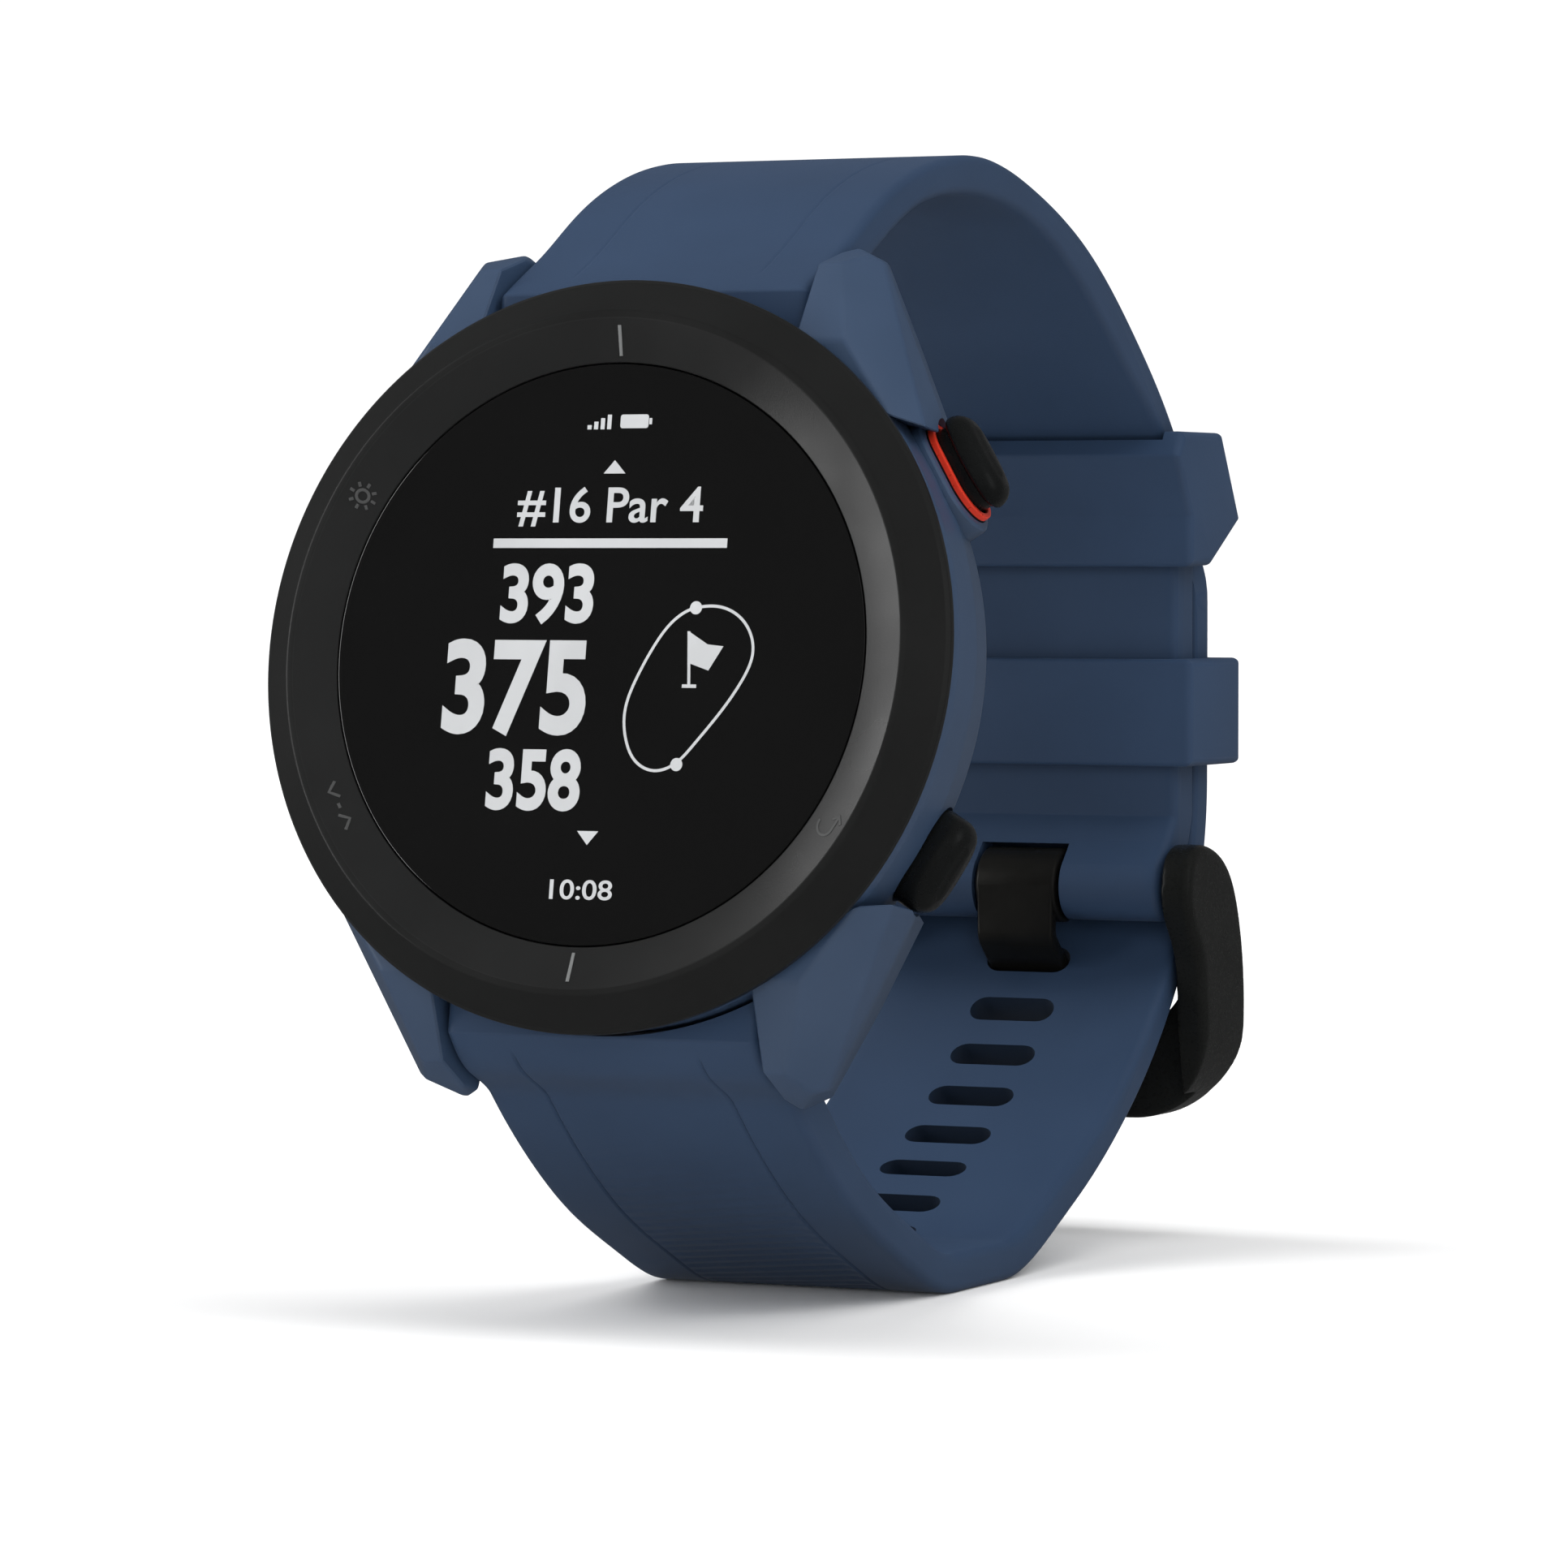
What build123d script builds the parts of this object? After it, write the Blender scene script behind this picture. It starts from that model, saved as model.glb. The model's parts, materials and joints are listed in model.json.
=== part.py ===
"""A golf GPS watch, fastened and standing on the bottom of its strap loop.

Millimetres. +X is the 3 o'clock side, the dial looks along -Y and a little up, +Z is up.
Two frames are used while building, both with their origin at the centre of the bezel's rim:
  loop frame   (x, y, z): parallel to the finished part, for the strap, the keepers and the buckle
  head frame   (x, u, h): x to 3 o'clock, u to 12 o'clock, h out of the dial, for the case and all in it
The last step moves everything so that the origin is at the middle of the part's base.
"""

from build123d import *
from math import cos, radians, sin
import os

# ---------------------------------------------------------------- driving dimensions
HEAD_TILT = 9.2  # the head leans back by this many degrees
CASE_DIAMETER = 43.7
CASE_BACK = -10.1  # height of the back cover's outer face
STRAP_WIDTH = 20.0
STRAP_THICKNESS = 2.4
FLOOR = -39.1  # lowest face of the strap, in the loop frame
CLEAR = 0.05  # assembly gap between pieces that are fixed together
RUNNING = 0.05  # radial gap of pieces that turn or slide in each other

# bezel, lens and the stack under them: heights in the head frame
RIM_RADIUS = CASE_DIAMETER / 2
LENS_RADIUS = 16.85
LENS_TOP = 0.55
LENS_THICKNESS = 1.5
CREST_RADIUS = 19.6
CREST_HEIGHT = 1.4
BEZEL_BOTTOM = -1.2
BEZEL_SPIGOT_RADIUS = 19.6
BEZEL_SPIGOT_BOTTOM = -2.2
LENS_SHELF_RADIUS = 15.6
LENS_GASKET = 0.25
CAVITY_RADIUS = 18.2
CAVITY_TOP = -2.5
CAVITY_BOTTOM = -8.2
COVER_RADIUS = 18.0
COVER_TOP = -9.1
COVER_LEDGE = -8.85
COVER_LEDGE_RADIUS = 17.0

# internal stack
DISPLAY_SIZE = (24.0, 26.0, 1.0)
DISPLAY_TOP = -2.3
GUIDE_THICKNESS = 0.5
FRAME_TOP = -3.9
FRAME_BOTTOM = -4.5
FLEX_U = -14.2
FLEX_WIDTH = 8.0
FLEX_THICKNESS = 0.2
BOARD_TOP = -4.6
BOARD_BOTTOM = -5.4
BOARD_RADIUS = 16.5
BATTERY_SIZE = (22.0, 13.0, 2.7)
BATTERY_CENTRE = (0.0, -1.5, -7.3)
ANTENNA_SIZE = (10.0, 9.0, 1.5)
ANTENNA_CENTRE = (0.0, 10.8)
SHIELD_SIZE = (9.0, 4.5, 1.0)
SHIELD_CENTRE = (0.0, -12.0)

# back cover screws and charging port
SCREW_ANGLES = (30, 150, 210, 330)
SCREW_CIRCLE = 15.9
SCREW_HEAD_RADIUS = 1.15
SCREW_HEAD_HEIGHT = 0.55
SCREW_RADIUS = 0.6
SCREW_LENGTH = 3.6
BOSS_RADIUS = 1.5
PORT_SIZE = (9.0, 5.0)
PORT_CENTRE = (0.0, -10.5)
PORT_DEPTH = 0.6
CONTACT_RADIUS = 0.45
CONTACT_PITCH = 1.9
CONTACT_COUNT = 4

# buttons: angles run clockwise from 12 o'clock, distances along the button from the dial's axis
BUTTON_ANGLES = {"light": 300, "select": 58, "down": 240, "back": 120}
BUTTON_OUTER = {"light": 23.2, "select": 24.3, "down": 23.8, "back": 23.2}
BUTTON_HEIGHT = -6.8
BUTTON_LENGTH = 6.0
BUTTON_WIDTH = 3.6
BUTTON_UNDERSIDE = 20.6
NECK_STEP = 0.6  # how much narrower the select cap is where it passes through its ring
NECK_TOP = 22.8
RING_STEP = 0.4
RING_BOTTOM = 20.85
RING_TOP = 22.2
COLLAR_STEP = 1.5  # how much larger the case's raised collar is than the select cap
COLLAR_TOP = 21.75
BUTTON_TRAVEL = 0.5
POCKET_FLOOR = 20.0
POCKET_GAP = 0.15
STEM_RADIUS = 0.9
STEM_END = 16.5
BUSH_RADIUS = 1.6
BUSH_INNER = 17.6
BUSH_OUTER = 19.2
SPRING_SEAT_RADIUS = 1.75
CLIP_OUTER = 17.5
CLIP_THICKNESS = 0.25
SWITCH_FACE = 15.95
SWITCH_SIZE = (3.0, 1.5, 1.9)

# lugs and spring bars, in the head frame
LUG_INNER = 10.25
CASE_ROOM = [(21.7, 0), (21.7, -2.2), (21.55, -5.0), (21.05, -7.6), (20.15, -9.5), (20.15, -12)]
PIN_U = 23.0
PIN_H = -7.6
BAR_RADIUS = 0.75
BAR_BORE = 0.55
BAR_HALF = 9.7
TIP_RADIUS = 0.4
TIP_REACH = 10.95
LEVER_X = 6.9
RELEASE_TRAVEL = 1.2

# the closed loop at the back: depths in the loop frame
INNER_FRONT = 63.5
INNER_BACK = 66.9
TAIL_FRONT = 67.1
TAIL_BACK = 69.6
TAIL_TIP = 11.8
PIN_Y = 62.5
PIN_Z = -16.0
TUBE_RADIUS = 2.25
BUCKLE_PIN_RADIUS = 0.75

# buckle
TONGUE_WIDTH = 5.6
TONGUE_TIP_WIDTH = 5.3
TONGUE_THICKNESS = 1.0
BARREL_RADIUS = 2.45
NOTCH_HALF = 3.1
ARM_INNER = 10.4
ARM_OUTER = 12.4
BAR_FRONT = 66.0
BAR_BACK = 69.2
BAR_LOW = -31.5
BAR_HIGH = -26.5
FRAME_CORNER = 6.5
WINDOW_SIDE = -19.5  # where the window's sides start to round into the bar
TONGUE_DISTANCE = 14.7  # from the straight part of the tail down to the tongue's slot, along the outer face
TONGUE_DROP = 0.13  # how far below the middle of its slot the tongue lies, for room to lift
SLOT_WIDTH = 5.9
SLOT_HEIGHT = 2.0
SLOT_PITCH = 4.5
SLOTS_BELOW = 7
SLOTS_ABOVE = 4

# keepers
KEEPER_HALF = 11.6
KEEPER_GAP = 0.2
KEEPER_WALL = 1.1
LOWER_KEEPER = (-8.1, -1.1)

TILT = radians(HEAD_TILT)
HEAD = Plane(origin=(0, 0, 0), x_dir=(1, 0, 0), z_dir=(0, -cos(TILT), sin(TILT)))


# ---------------------------------------------------------------- helpers
def on_head(shape):
    """Moves a shape from the head frame into the loop frame."""
    return HEAD * shape


def head_point(x, u, h):
    """A head-frame point in the loop frame."""
    return (x, -h * cos(TILT) + u * sin(TILT), h * sin(TILT) + u * cos(TILT))


def turned(*corners):
    """A ring or disc about the dial's axis, from (radius, height) corners."""
    return revolve(Plane.XZ * make_face(Polyline(*corners, close=True)), Axis.Z)


def disc(radius, low, high):
    """A plain disc about the dial's axis."""
    return Pos(0, 0, (low + high) / 2) * Cylinder(radius, high - low)


def ring(inner, outer, low, high):
    """A flat ring about the dial's axis."""
    return disc(outer, low, high) - disc(inner, low - 1, high + 1)


def plate(size, centre, corner=0.4):
    """A rectangular block with rounded upright edges. The centre is (x, u, h)."""
    block = Box(*size)
    return Pos(*centre) * fillet(block.edges().filter_by(Axis.Z), corner)


def on_circle(radius, angle):
    """A point on a circle about the dial's axis, at an angle clockwise from 12 o'clock."""
    return (radius * sin(radians(angle)), radius * cos(radians(angle)))


def button_plane(angle):
    """A plane whose normal runs out along a button's axis."""
    outward = (sin(radians(angle)), cos(radians(angle)), 0)
    across = (cos(radians(angle)), -sin(radians(angle)), 0)
    return Plane(origin=(0, 0, BUTTON_HEIGHT), x_dir=across, z_dir=outward)


def rod(radius, low, high):
    """A round rod along Z, from low to high."""
    return Pos(0, 0, (low + high) / 2) * Cylinder(radius, high - low)


def oblong(length, width, low, high):
    """A racetrack-shaped block along Z, from low to high."""
    return Pos(0, 0, low) * extrude(SlotOverall(length, width), high - low)


def side_profile(edges, half_width):
    """Extrudes a closed outline in the YZ plane to both sides of the middle."""
    outline = Plane.YZ * make_face(edges)
    return extrude(outline, half_width, both=True)


def rod_x(radius, y, z, low, high):
    """A round rod along X, from low to high."""
    return Pos((low + high) / 2, y, z) * Rot(0, 90, 0) * Cylinder(radius, high - low)


def cut_beyond(solid, a, b, c):
    """Cuts away what lies beyond the plane through three points, on the side of its normal."""
    a, b, c = Vector(*a), Vector(*b), Vector(*c)
    knife_plane = Plane(origin=a, x_dir=b - a, z_dir=(b - a).cross(c - a))
    knife = knife_plane * Pos(0, 0, 40) * Box(160, 160, 80)
    return solid - knife


# ---------------------------------------------------------------- bezel and lens
def make_bezel():
    inner = LENS_RADIUS + CLEAR
    ledge = LENS_TOP - LENS_THICKNESS - LENS_GASKET
    return turned(
        (inner, LENS_TOP - 0.02), (CREST_RADIUS - 0.25, CREST_HEIGHT - 0.06), (CREST_RADIUS, CREST_HEIGHT),
        (CREST_RADIUS + 0.25, CREST_HEIGHT - 0.06), (RIM_RADIUS - 0.25, 0.15), (RIM_RADIUS, -0.1),
        (RIM_RADIUS, -0.45), (RIM_RADIUS - 0.3, BEZEL_BOTTOM), (BEZEL_SPIGOT_RADIUS, BEZEL_BOTTOM),
        (BEZEL_SPIGOT_RADIUS, BEZEL_SPIGOT_BOTTOM), (LENS_SHELF_RADIUS, BEZEL_SPIGOT_BOTTOM),
        (LENS_SHELF_RADIUS, ledge), (inner, ledge),
    )


def make_lens():
    bottom = LENS_TOP - LENS_THICKNESS
    return turned(
        (0, bottom), (LENS_RADIUS, bottom), (LENS_RADIUS, LENS_TOP - 0.15),
        (LENS_RADIUS - 0.15, LENS_TOP), (0, LENS_TOP),
    )


def make_lens_gasket():
    bottom = LENS_TOP - LENS_THICKNESS
    return ring(LENS_SHELF_RADIUS + 0.1, LENS_RADIUS - 0.1, bottom - LENS_GASKET, bottom)


def make_bezel_gasket():
    return ring(CAVITY_RADIUS + 0.1, BEZEL_SPIGOT_RADIUS - 0.1, CAVITY_TOP, BEZEL_SPIGOT_BOTTOM)


# ---------------------------------------------------------------- case
def make_case_body():
    """The round wall of the case, with a ledge for the bezel in front and one for the cover behind."""
    step = BEZEL_SPIGOT_RADIUS + CLEAR
    return turned(
        (step, BEZEL_BOTTOM), (21.35, BEZEL_BOTTOM), (21.45, -2.2), (21.3, -5.0), (20.8, -7.6), (19.9, -9.5),
        (19.4, CASE_BACK), (COVER_RADIUS, CASE_BACK), (COVER_RADIUS, COVER_LEDGE),
        (COVER_LEDGE_RADIUS, COVER_LEDGE), (COVER_LEDGE_RADIUS, CAVITY_BOTTOM), (CAVITY_RADIUS, CAVITY_BOTTOM),
        (CAVITY_RADIUS, CAVITY_TOP), (step, CAVITY_TOP),
    )


def make_lug():
    """The lug at the upper right: a long faceted horn beside the strap end."""
    outline = Polyline(
        (LUG_INNER, 16.5), (LUG_INNER, 24.6), (10.9, 25.1), (12.8, 24.0), (18.1, 13.6), (14.5, 14.5), close=True
    )
    lug = Pos(0, 0, CASE_BACK) * extrude(make_face(outline), BEZEL_BOTTOM - CASE_BACK)
    # front face, sloping back towards the tip
    lug = cut_beyond(lug, (10, 18.5, -1.25), (20, 18.5, -1.25), (10, 25.1, -4.6))
    # broad outer facet along the front edge
    lug = cut_beyond(lug, (16.6, 14.0, -1.2), (18.1, 14.0, -3.4), (11.2, 24.5, -4.2))
    # rear facet, drawing in towards the wrist
    lug = cut_beyond(lug, (12.8, 24.0, -7.0), (18.0, 14.0, -6.2), (11.9, 24.0, -10.1))
    # steep end face, leaning back from the outer corner to the tip
    lug = cut_beyond(lug, (10, 23.5, -4.0), (20, 23.5, -4.0), (10, 25.3, -8.3))
    # underside, rising towards the tip
    lug = cut_beyond(lug, (10, 25.1, -8.4), (20, 25.1, -8.4), (10, 19.0, -10.1))
    return lug


def make_main_case():
    body = make_case_body()
    right = make_lug()
    lugs = [right, mirror(right, Plane.YZ)]
    lugs += [mirror(lug, Plane.XZ) for lug in lugs]
    keep_out = disc(CAVITY_RADIUS + 0.9, CASE_BACK - 1, CAVITY_TOP)
    keep_out += disc(BEZEL_SPIGOT_RADIUS + CLEAR, CAVITY_TOP, BEZEL_BOTTOM + 1)
    for lug in lugs:
        body += lug - keep_out
    for angle in SCREW_ANGLES:
        x, u = on_circle(SCREW_CIRCLE, angle)
        far_x, far_u = on_circle(CAVITY_RADIUS + 0.4, angle)
        boss = Pos(x, u, (FRAME_BOTTOM + COVER_LEDGE) / 2) * Cylinder(BOSS_RADIUS, FRAME_BOTTOM - COVER_LEDGE)
        web = Pos((x + far_x) / 2, (u + far_u) / 2, (FRAME_BOTTOM + COVER_LEDGE) / 2) * Rot(0, 0, -angle) * Box(
            2 * BOSS_RADIUS, CAVITY_RADIUS + 0.4 - SCREW_CIRCLE, FRAME_BOTTOM - COVER_LEDGE
        )
        body += boss + web
        body -= Pos(x, u, (COVER_LEDGE - SCREW_LENGTH) / 2 + 1.0) * Cylinder(SCREW_RADIUS + 0.02, SCREW_LENGTH + 6.0)
    collar = oblong(BUTTON_LENGTH + COLLAR_STEP, BUTTON_WIDTH + COLLAR_STEP, 19.6, COLLAR_TOP)
    collar = fillet(collar.faces().sort_by(Axis.Z)[-1].edges(), 0.4)
    body += button_plane(BUTTON_ANGLES["select"]) * collar
    for angle in BUTTON_ANGLES.values():
        pocket = oblong(BUTTON_LENGTH + 2 * POCKET_GAP, BUTTON_WIDTH + 2 * POCKET_GAP, POCKET_FLOOR, 24)
        seat = rod(SPRING_SEAT_RADIUS, BUSH_OUTER, POCKET_FLOOR + 0.1)
        bore = rod(BUSH_RADIUS, COVER_LEDGE_RADIUS - 0.2, BUSH_OUTER + 0.1)
        body -= button_plane(angle) * (pocket + seat + bore)
    # seat of the coloured ring, inside the collar
    ring_seat = oblong(BUTTON_LENGTH + RING_STEP + 0.1, BUTTON_WIDTH + RING_STEP + 0.1, RING_BOTTOM - 0.05, 24)
    body -= button_plane(BUTTON_ANGLES["select"]) * ring_seat
    for u in (PIN_U, -PIN_U):
        body -= rod_x(TIP_RADIUS + RUNNING, u, PIN_H, -11.1, 11.1)
    return body


# ---------------------------------------------------------------- inside the case
def make_display_module():
    panel = plate(DISPLAY_SIZE, (0, 0, DISPLAY_TOP - DISPLAY_SIZE[2] / 2), 2.5)
    return panel


def make_light_guide():
    top = DISPLAY_TOP - DISPLAY_SIZE[2]
    size = (DISPLAY_SIZE[0] - 0.6, DISPLAY_SIZE[1] - 0.6, GUIDE_THICKNESS)
    return plate(size, (0, 0, top - GUIDE_THICKNESS / 2 - 0.02), 2.5)


def make_inner_frame():
    carrier = disc(CAVITY_RADIUS - 0.2, FRAME_BOTTOM, FRAME_TOP)
    flex_slot = Pos(0, FLEX_U, (FRAME_TOP + FRAME_BOTTOM) / 2) * Box(FLEX_WIDTH + 0.4, 0.9, 2)
    return carrier - flex_slot


def make_main_board():
    board = disc(BOARD_RADIUS, BOARD_BOTTOM, BOARD_TOP)
    for angle in SCREW_ANGLES:
        x, u = on_circle(SCREW_CIRCLE + 0.6, angle)
        board -= Pos(x, u, BOARD_TOP) * Cylinder(BOSS_RADIUS + 0.9, 4)
    return board


def make_display_flex():
    """The flat ribbon from the display, through the carrier, to the board."""
    low = BOARD_TOP
    high = DISPLAY_TOP - 0.55
    upright = Pos(0, FLEX_U, (low + high) / 2) * Box(FLEX_WIDTH, FLEX_THICKNESS, high - low)
    reach = -DISPLAY_SIZE[1] / 2 - FLEX_U
    top = Pos(0, FLEX_U + reach / 2, high - FLEX_THICKNESS / 2) * Box(FLEX_WIDTH, reach, FLEX_THICKNESS)
    return upright + top


def make_gps_antenna():
    x, u = ANTENNA_CENTRE
    return plate(ANTENNA_SIZE, (x, u, BOARD_BOTTOM - ANTENNA_SIZE[2] / 2))


def make_shield_can():
    x, u = SHIELD_CENTRE
    return plate(SHIELD_SIZE, (x, u, BOARD_BOTTOM - SHIELD_SIZE[2] / 2))


def make_battery():
    return plate(BATTERY_SIZE, BATTERY_CENTRE, 1.0)


def make_switches():
    """One side-push switch under each button, on the rear of the board."""
    switches = []
    for angle in BUTTON_ANGLES.values():
        tangent, radial, height = SWITCH_SIZE
        body = Pos(0, -(BOARD_BOTTOM - BUTTON_HEIGHT) + height / 2, SWITCH_FACE - radial / 2) * Box(
            tangent, height, radial
        )
        switches.append(button_plane(angle) * body)
    return switches


# ---------------------------------------------------------------- back
def make_back_gasket():
    return ring(COVER_LEDGE_RADIUS + 0.1, COVER_RADIUS - 0.1, COVER_TOP, COVER_LEDGE)


def make_back_cover():
    radius = COVER_RADIUS - CLEAR
    cover = turned(
        (0, CASE_BACK), (radius - 0.3, CASE_BACK), (radius, CASE_BACK + 0.3), (radius, COVER_TOP), (0, COVER_TOP)
    )
    for angle in SCREW_ANGLES:
        x, u = on_circle(SCREW_CIRCLE, angle)
        cover -= Pos(x, u, CASE_BACK) * Cylinder(SCREW_RADIUS + CLEAR, 6)
        cover -= Pos(x, u, CASE_BACK) * Cylinder(SCREW_HEAD_RADIUS + CLEAR, 2 * SCREW_HEAD_HEIGHT)
    px, pu = PORT_CENTRE
    cover -= plate((PORT_SIZE[0], PORT_SIZE[1], 6), (px, pu, CASE_BACK), 1.2)
    return cover


def make_screws():
    screws = []
    for angle in SCREW_ANGLES:
        x, u = on_circle(SCREW_CIRCLE, angle)
        head = Pos(x, u, CASE_BACK + SCREW_HEAD_HEIGHT / 2) * Cylinder(SCREW_HEAD_RADIUS, SCREW_HEAD_HEIGHT)
        shank = Pos(x, u, CASE_BACK + SCREW_HEAD_HEIGHT + SCREW_LENGTH / 2) * Cylinder(SCREW_RADIUS, SCREW_LENGTH)
        drive = Pos(x, u, CASE_BACK) * extrude(RegularPolygon(0.55, 6), 0.35)
        screws.append(head + shank - drive)
    return screws


def make_charging_port():
    px, pu = PORT_CENTRE
    bottom = CASE_BACK + PORT_DEPTH
    size = (PORT_SIZE[0] - 2 * CLEAR, PORT_SIZE[1] - 2 * CLEAR, 1.6)
    block = plate(size, (px, pu, bottom + 0.8), 1.1)
    for x in contact_places():
        block -= Pos(x, pu, bottom) * Cylinder(CONTACT_RADIUS, 6)
    return block


def contact_places():
    """Where the charging contacts stand, along x."""
    return [(i - (CONTACT_COUNT - 1) / 2) * CONTACT_PITCH for i in range(CONTACT_COUNT)]


def make_charging_contacts():
    bottom = CASE_BACK + PORT_DEPTH - 0.15
    contacts = []
    for x in contact_places():
        contacts.append(Pos(x, PORT_CENTRE[1], bottom + 1.0) * Cylinder(CONTACT_RADIUS - 0.01, 2.0))
    return contacts


# ---------------------------------------------------------------- buttons
def make_button(angle, outer, neck=BUTTON_UNDERSIDE):
    """A cap on a grooved stem. Below the neck's height the cap is narrower, to pass through a ring."""
    cap = oblong(BUTTON_LENGTH, BUTTON_WIDTH, neck, outer)
    cap = fillet(cap.faces().sort_by(Axis.Z)[-1].edges(), 1.1)
    if neck > BUTTON_UNDERSIDE:
        cap += oblong(BUTTON_LENGTH - NECK_STEP, BUTTON_WIDTH - NECK_STEP, BUTTON_UNDERSIDE, neck + 0.1)
    stem = rod(STEM_RADIUS, STEM_END, BUTTON_UNDERSIDE + 0.2)
    groove = rod(2.0, CLIP_OUTER - CLIP_THICKNESS - 0.02, CLIP_OUTER + 0.02) - rod(0.6, 15, 22)
    return button_plane(angle) * (cap + stem - groove)


def make_clip(angle):
    """The open clip that holds the stem behind its bush."""
    low = CLIP_OUTER - CLIP_THICKNESS
    clip = rod(1.5, low, CLIP_OUTER) - rod(0.62, 15, 20)
    mouth = Pos(0, 1.2, low) * Box(0.9, 2.4, 2)
    return button_plane(angle) * (clip - mouth)


def make_bush(angle):
    bush = rod(BUSH_RADIUS - 0.01, BUSH_INNER, BUSH_OUTER) - rod(STEM_RADIUS + RUNNING, 15, 22)
    seal_groove = rod(1.3, 18.15, 18.65)
    return button_plane(angle) * (bush - seal_groove)


def make_seal(angle):
    seal = rod(1.28, 18.17, 18.63) - rod(STEM_RADIUS + 0.02, 15, 22)
    return button_plane(angle) * seal


def make_button_spring(angle):
    """A conical spring washer under the cap."""
    outline = Polyline(
        (1.35, BUSH_OUTER + 0.02), (1.6, BUSH_OUTER + 0.02), (1.25, BUTTON_UNDERSIDE - 0.02),
        (1.0, BUTTON_UNDERSIDE - 0.02), close=True,
    )
    washer = revolve(Plane.XZ * make_face(outline), Axis.Z)
    return button_plane(angle) * washer


def make_select_ring():
    """The coloured ring that stands proud round the neck of the select button."""
    step = 2 * POCKET_GAP - NECK_STEP
    outer = oblong(BUTTON_LENGTH + RING_STEP, BUTTON_WIDTH + RING_STEP, RING_BOTTOM, RING_TOP)
    inner = oblong(BUTTON_LENGTH + step, BUTTON_WIDTH + step, 20, 23)
    return button_plane(BUTTON_ANGLES["select"]) * (outer - inner)


# ---------------------------------------------------------------- strap
def flat(point):
    """A head-frame (u, h) place in the strap's mid plane, as (y, z) of the loop frame."""
    _, y, z = head_point(0, *point)
    return (y, z)


def upper_outer():
    return [
        flat((21.75, -3.2)), (11.8, 23.6), (15.6, 25.8), (20.5, 28.0), (27.0, 29.6), (33.0, 29.9), (40.4, 28.4),
        (48.7, 25.2), (57.1, 19.6), (63.0, 14.4), (INNER_BACK, 7.0),
    ]


def upper_inner():
    return [
        (INNER_FRONT, 9.0), (61.0, 13.4), (55.4, 17.5), (46.3, 23.5), (38.5, 26.6), (31.0, 27.5), (22.9, 26.5),
        (16.6, 23.6), flat((22.6, -9.6)),
    ]


def make_upper_strap():
    """The 12 o'clock half: from the lugs over the top and down the back, to the tube for the buckle."""
    outer = Spline(*upper_outer(), tangents=[(0.85, 0.5), (0, -1)])
    inner = Spline(*upper_inner(), tangents=[(0, 1), (-0.5, -0.85)])
    end = PIN_Z + 4.6
    edges = [
        outer,
        Polyline((INNER_BACK, 7.0), (INNER_BACK, end), (PIN_Y + 1.5, PIN_Z), (PIN_Y - 1.3, PIN_Z),
                 (INNER_FRONT, end), (INNER_FRONT, 9.0)),
        inner,
        Polyline(flat((22.6, -9.6)), flat((21.75, -8.4)), flat((18.5, -8.4)), flat((18.5, -3.2)),
                 flat((21.75, -3.2))),
    ]
    strap = side_profile(edges, STRAP_WIDTH / 2)
    strap += rod_x(TUBE_RADIUS, PIN_Y, PIN_Z, -STRAP_WIDTH / 2, STRAP_WIDTH / 2)
    strap -= rod_x(BUCKLE_PIN_RADIUS + RUNNING, PIN_Y, PIN_Z, -20, 20)
    strap -= rod_x(BARREL_RADIUS + 0.35, PIN_Y, PIN_Z, -NOTCH_HALF, NOTCH_HALF)
    strap -= Pos(0, PIN_Y - 1.0, PIN_Z - 1.0) * Box(2 * NOTCH_HALF, 5.0, 4.0)
    return strap - spring_bar_room(1) - case_room()


def lower_outer_wire():
    """The outer face of the 6 o'clock half, from its lugs round the bottom to the tip of the tail."""
    over_pin = Spline(flat((-21.75, -3.2)), flat((-23.5, -5.3)), (5.2, -26.2), tangents=[(0.6, -0.8), (0.7, -0.7)])
    front = Spline(
        (5.2, -26.2), (9.1, -29.7), (15.4, -34.0), (21.9, -37.1), (28.5, FLOOR), tangents=[(0.7, -0.7), (1, 0)]
    )
    base = Line((28.5, FLOOR), (36.0, FLOOR))
    rear = Spline(
        (36.0, FLOOR), (44.2, -36.6), (49.2, -34.3), (54.3, -31.4), (58.9, -28.1), (63.0, -24.2), (66.5, -19.6),
        (68.8, -14.6), (TAIL_BACK, -9.0),
        tangents=[(1, 0), (0, 1)],
    )
    tail = Line((TAIL_BACK, -9.0), (TAIL_BACK, 7.0))
    return [over_pin, front, base, rear, tail]


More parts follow.
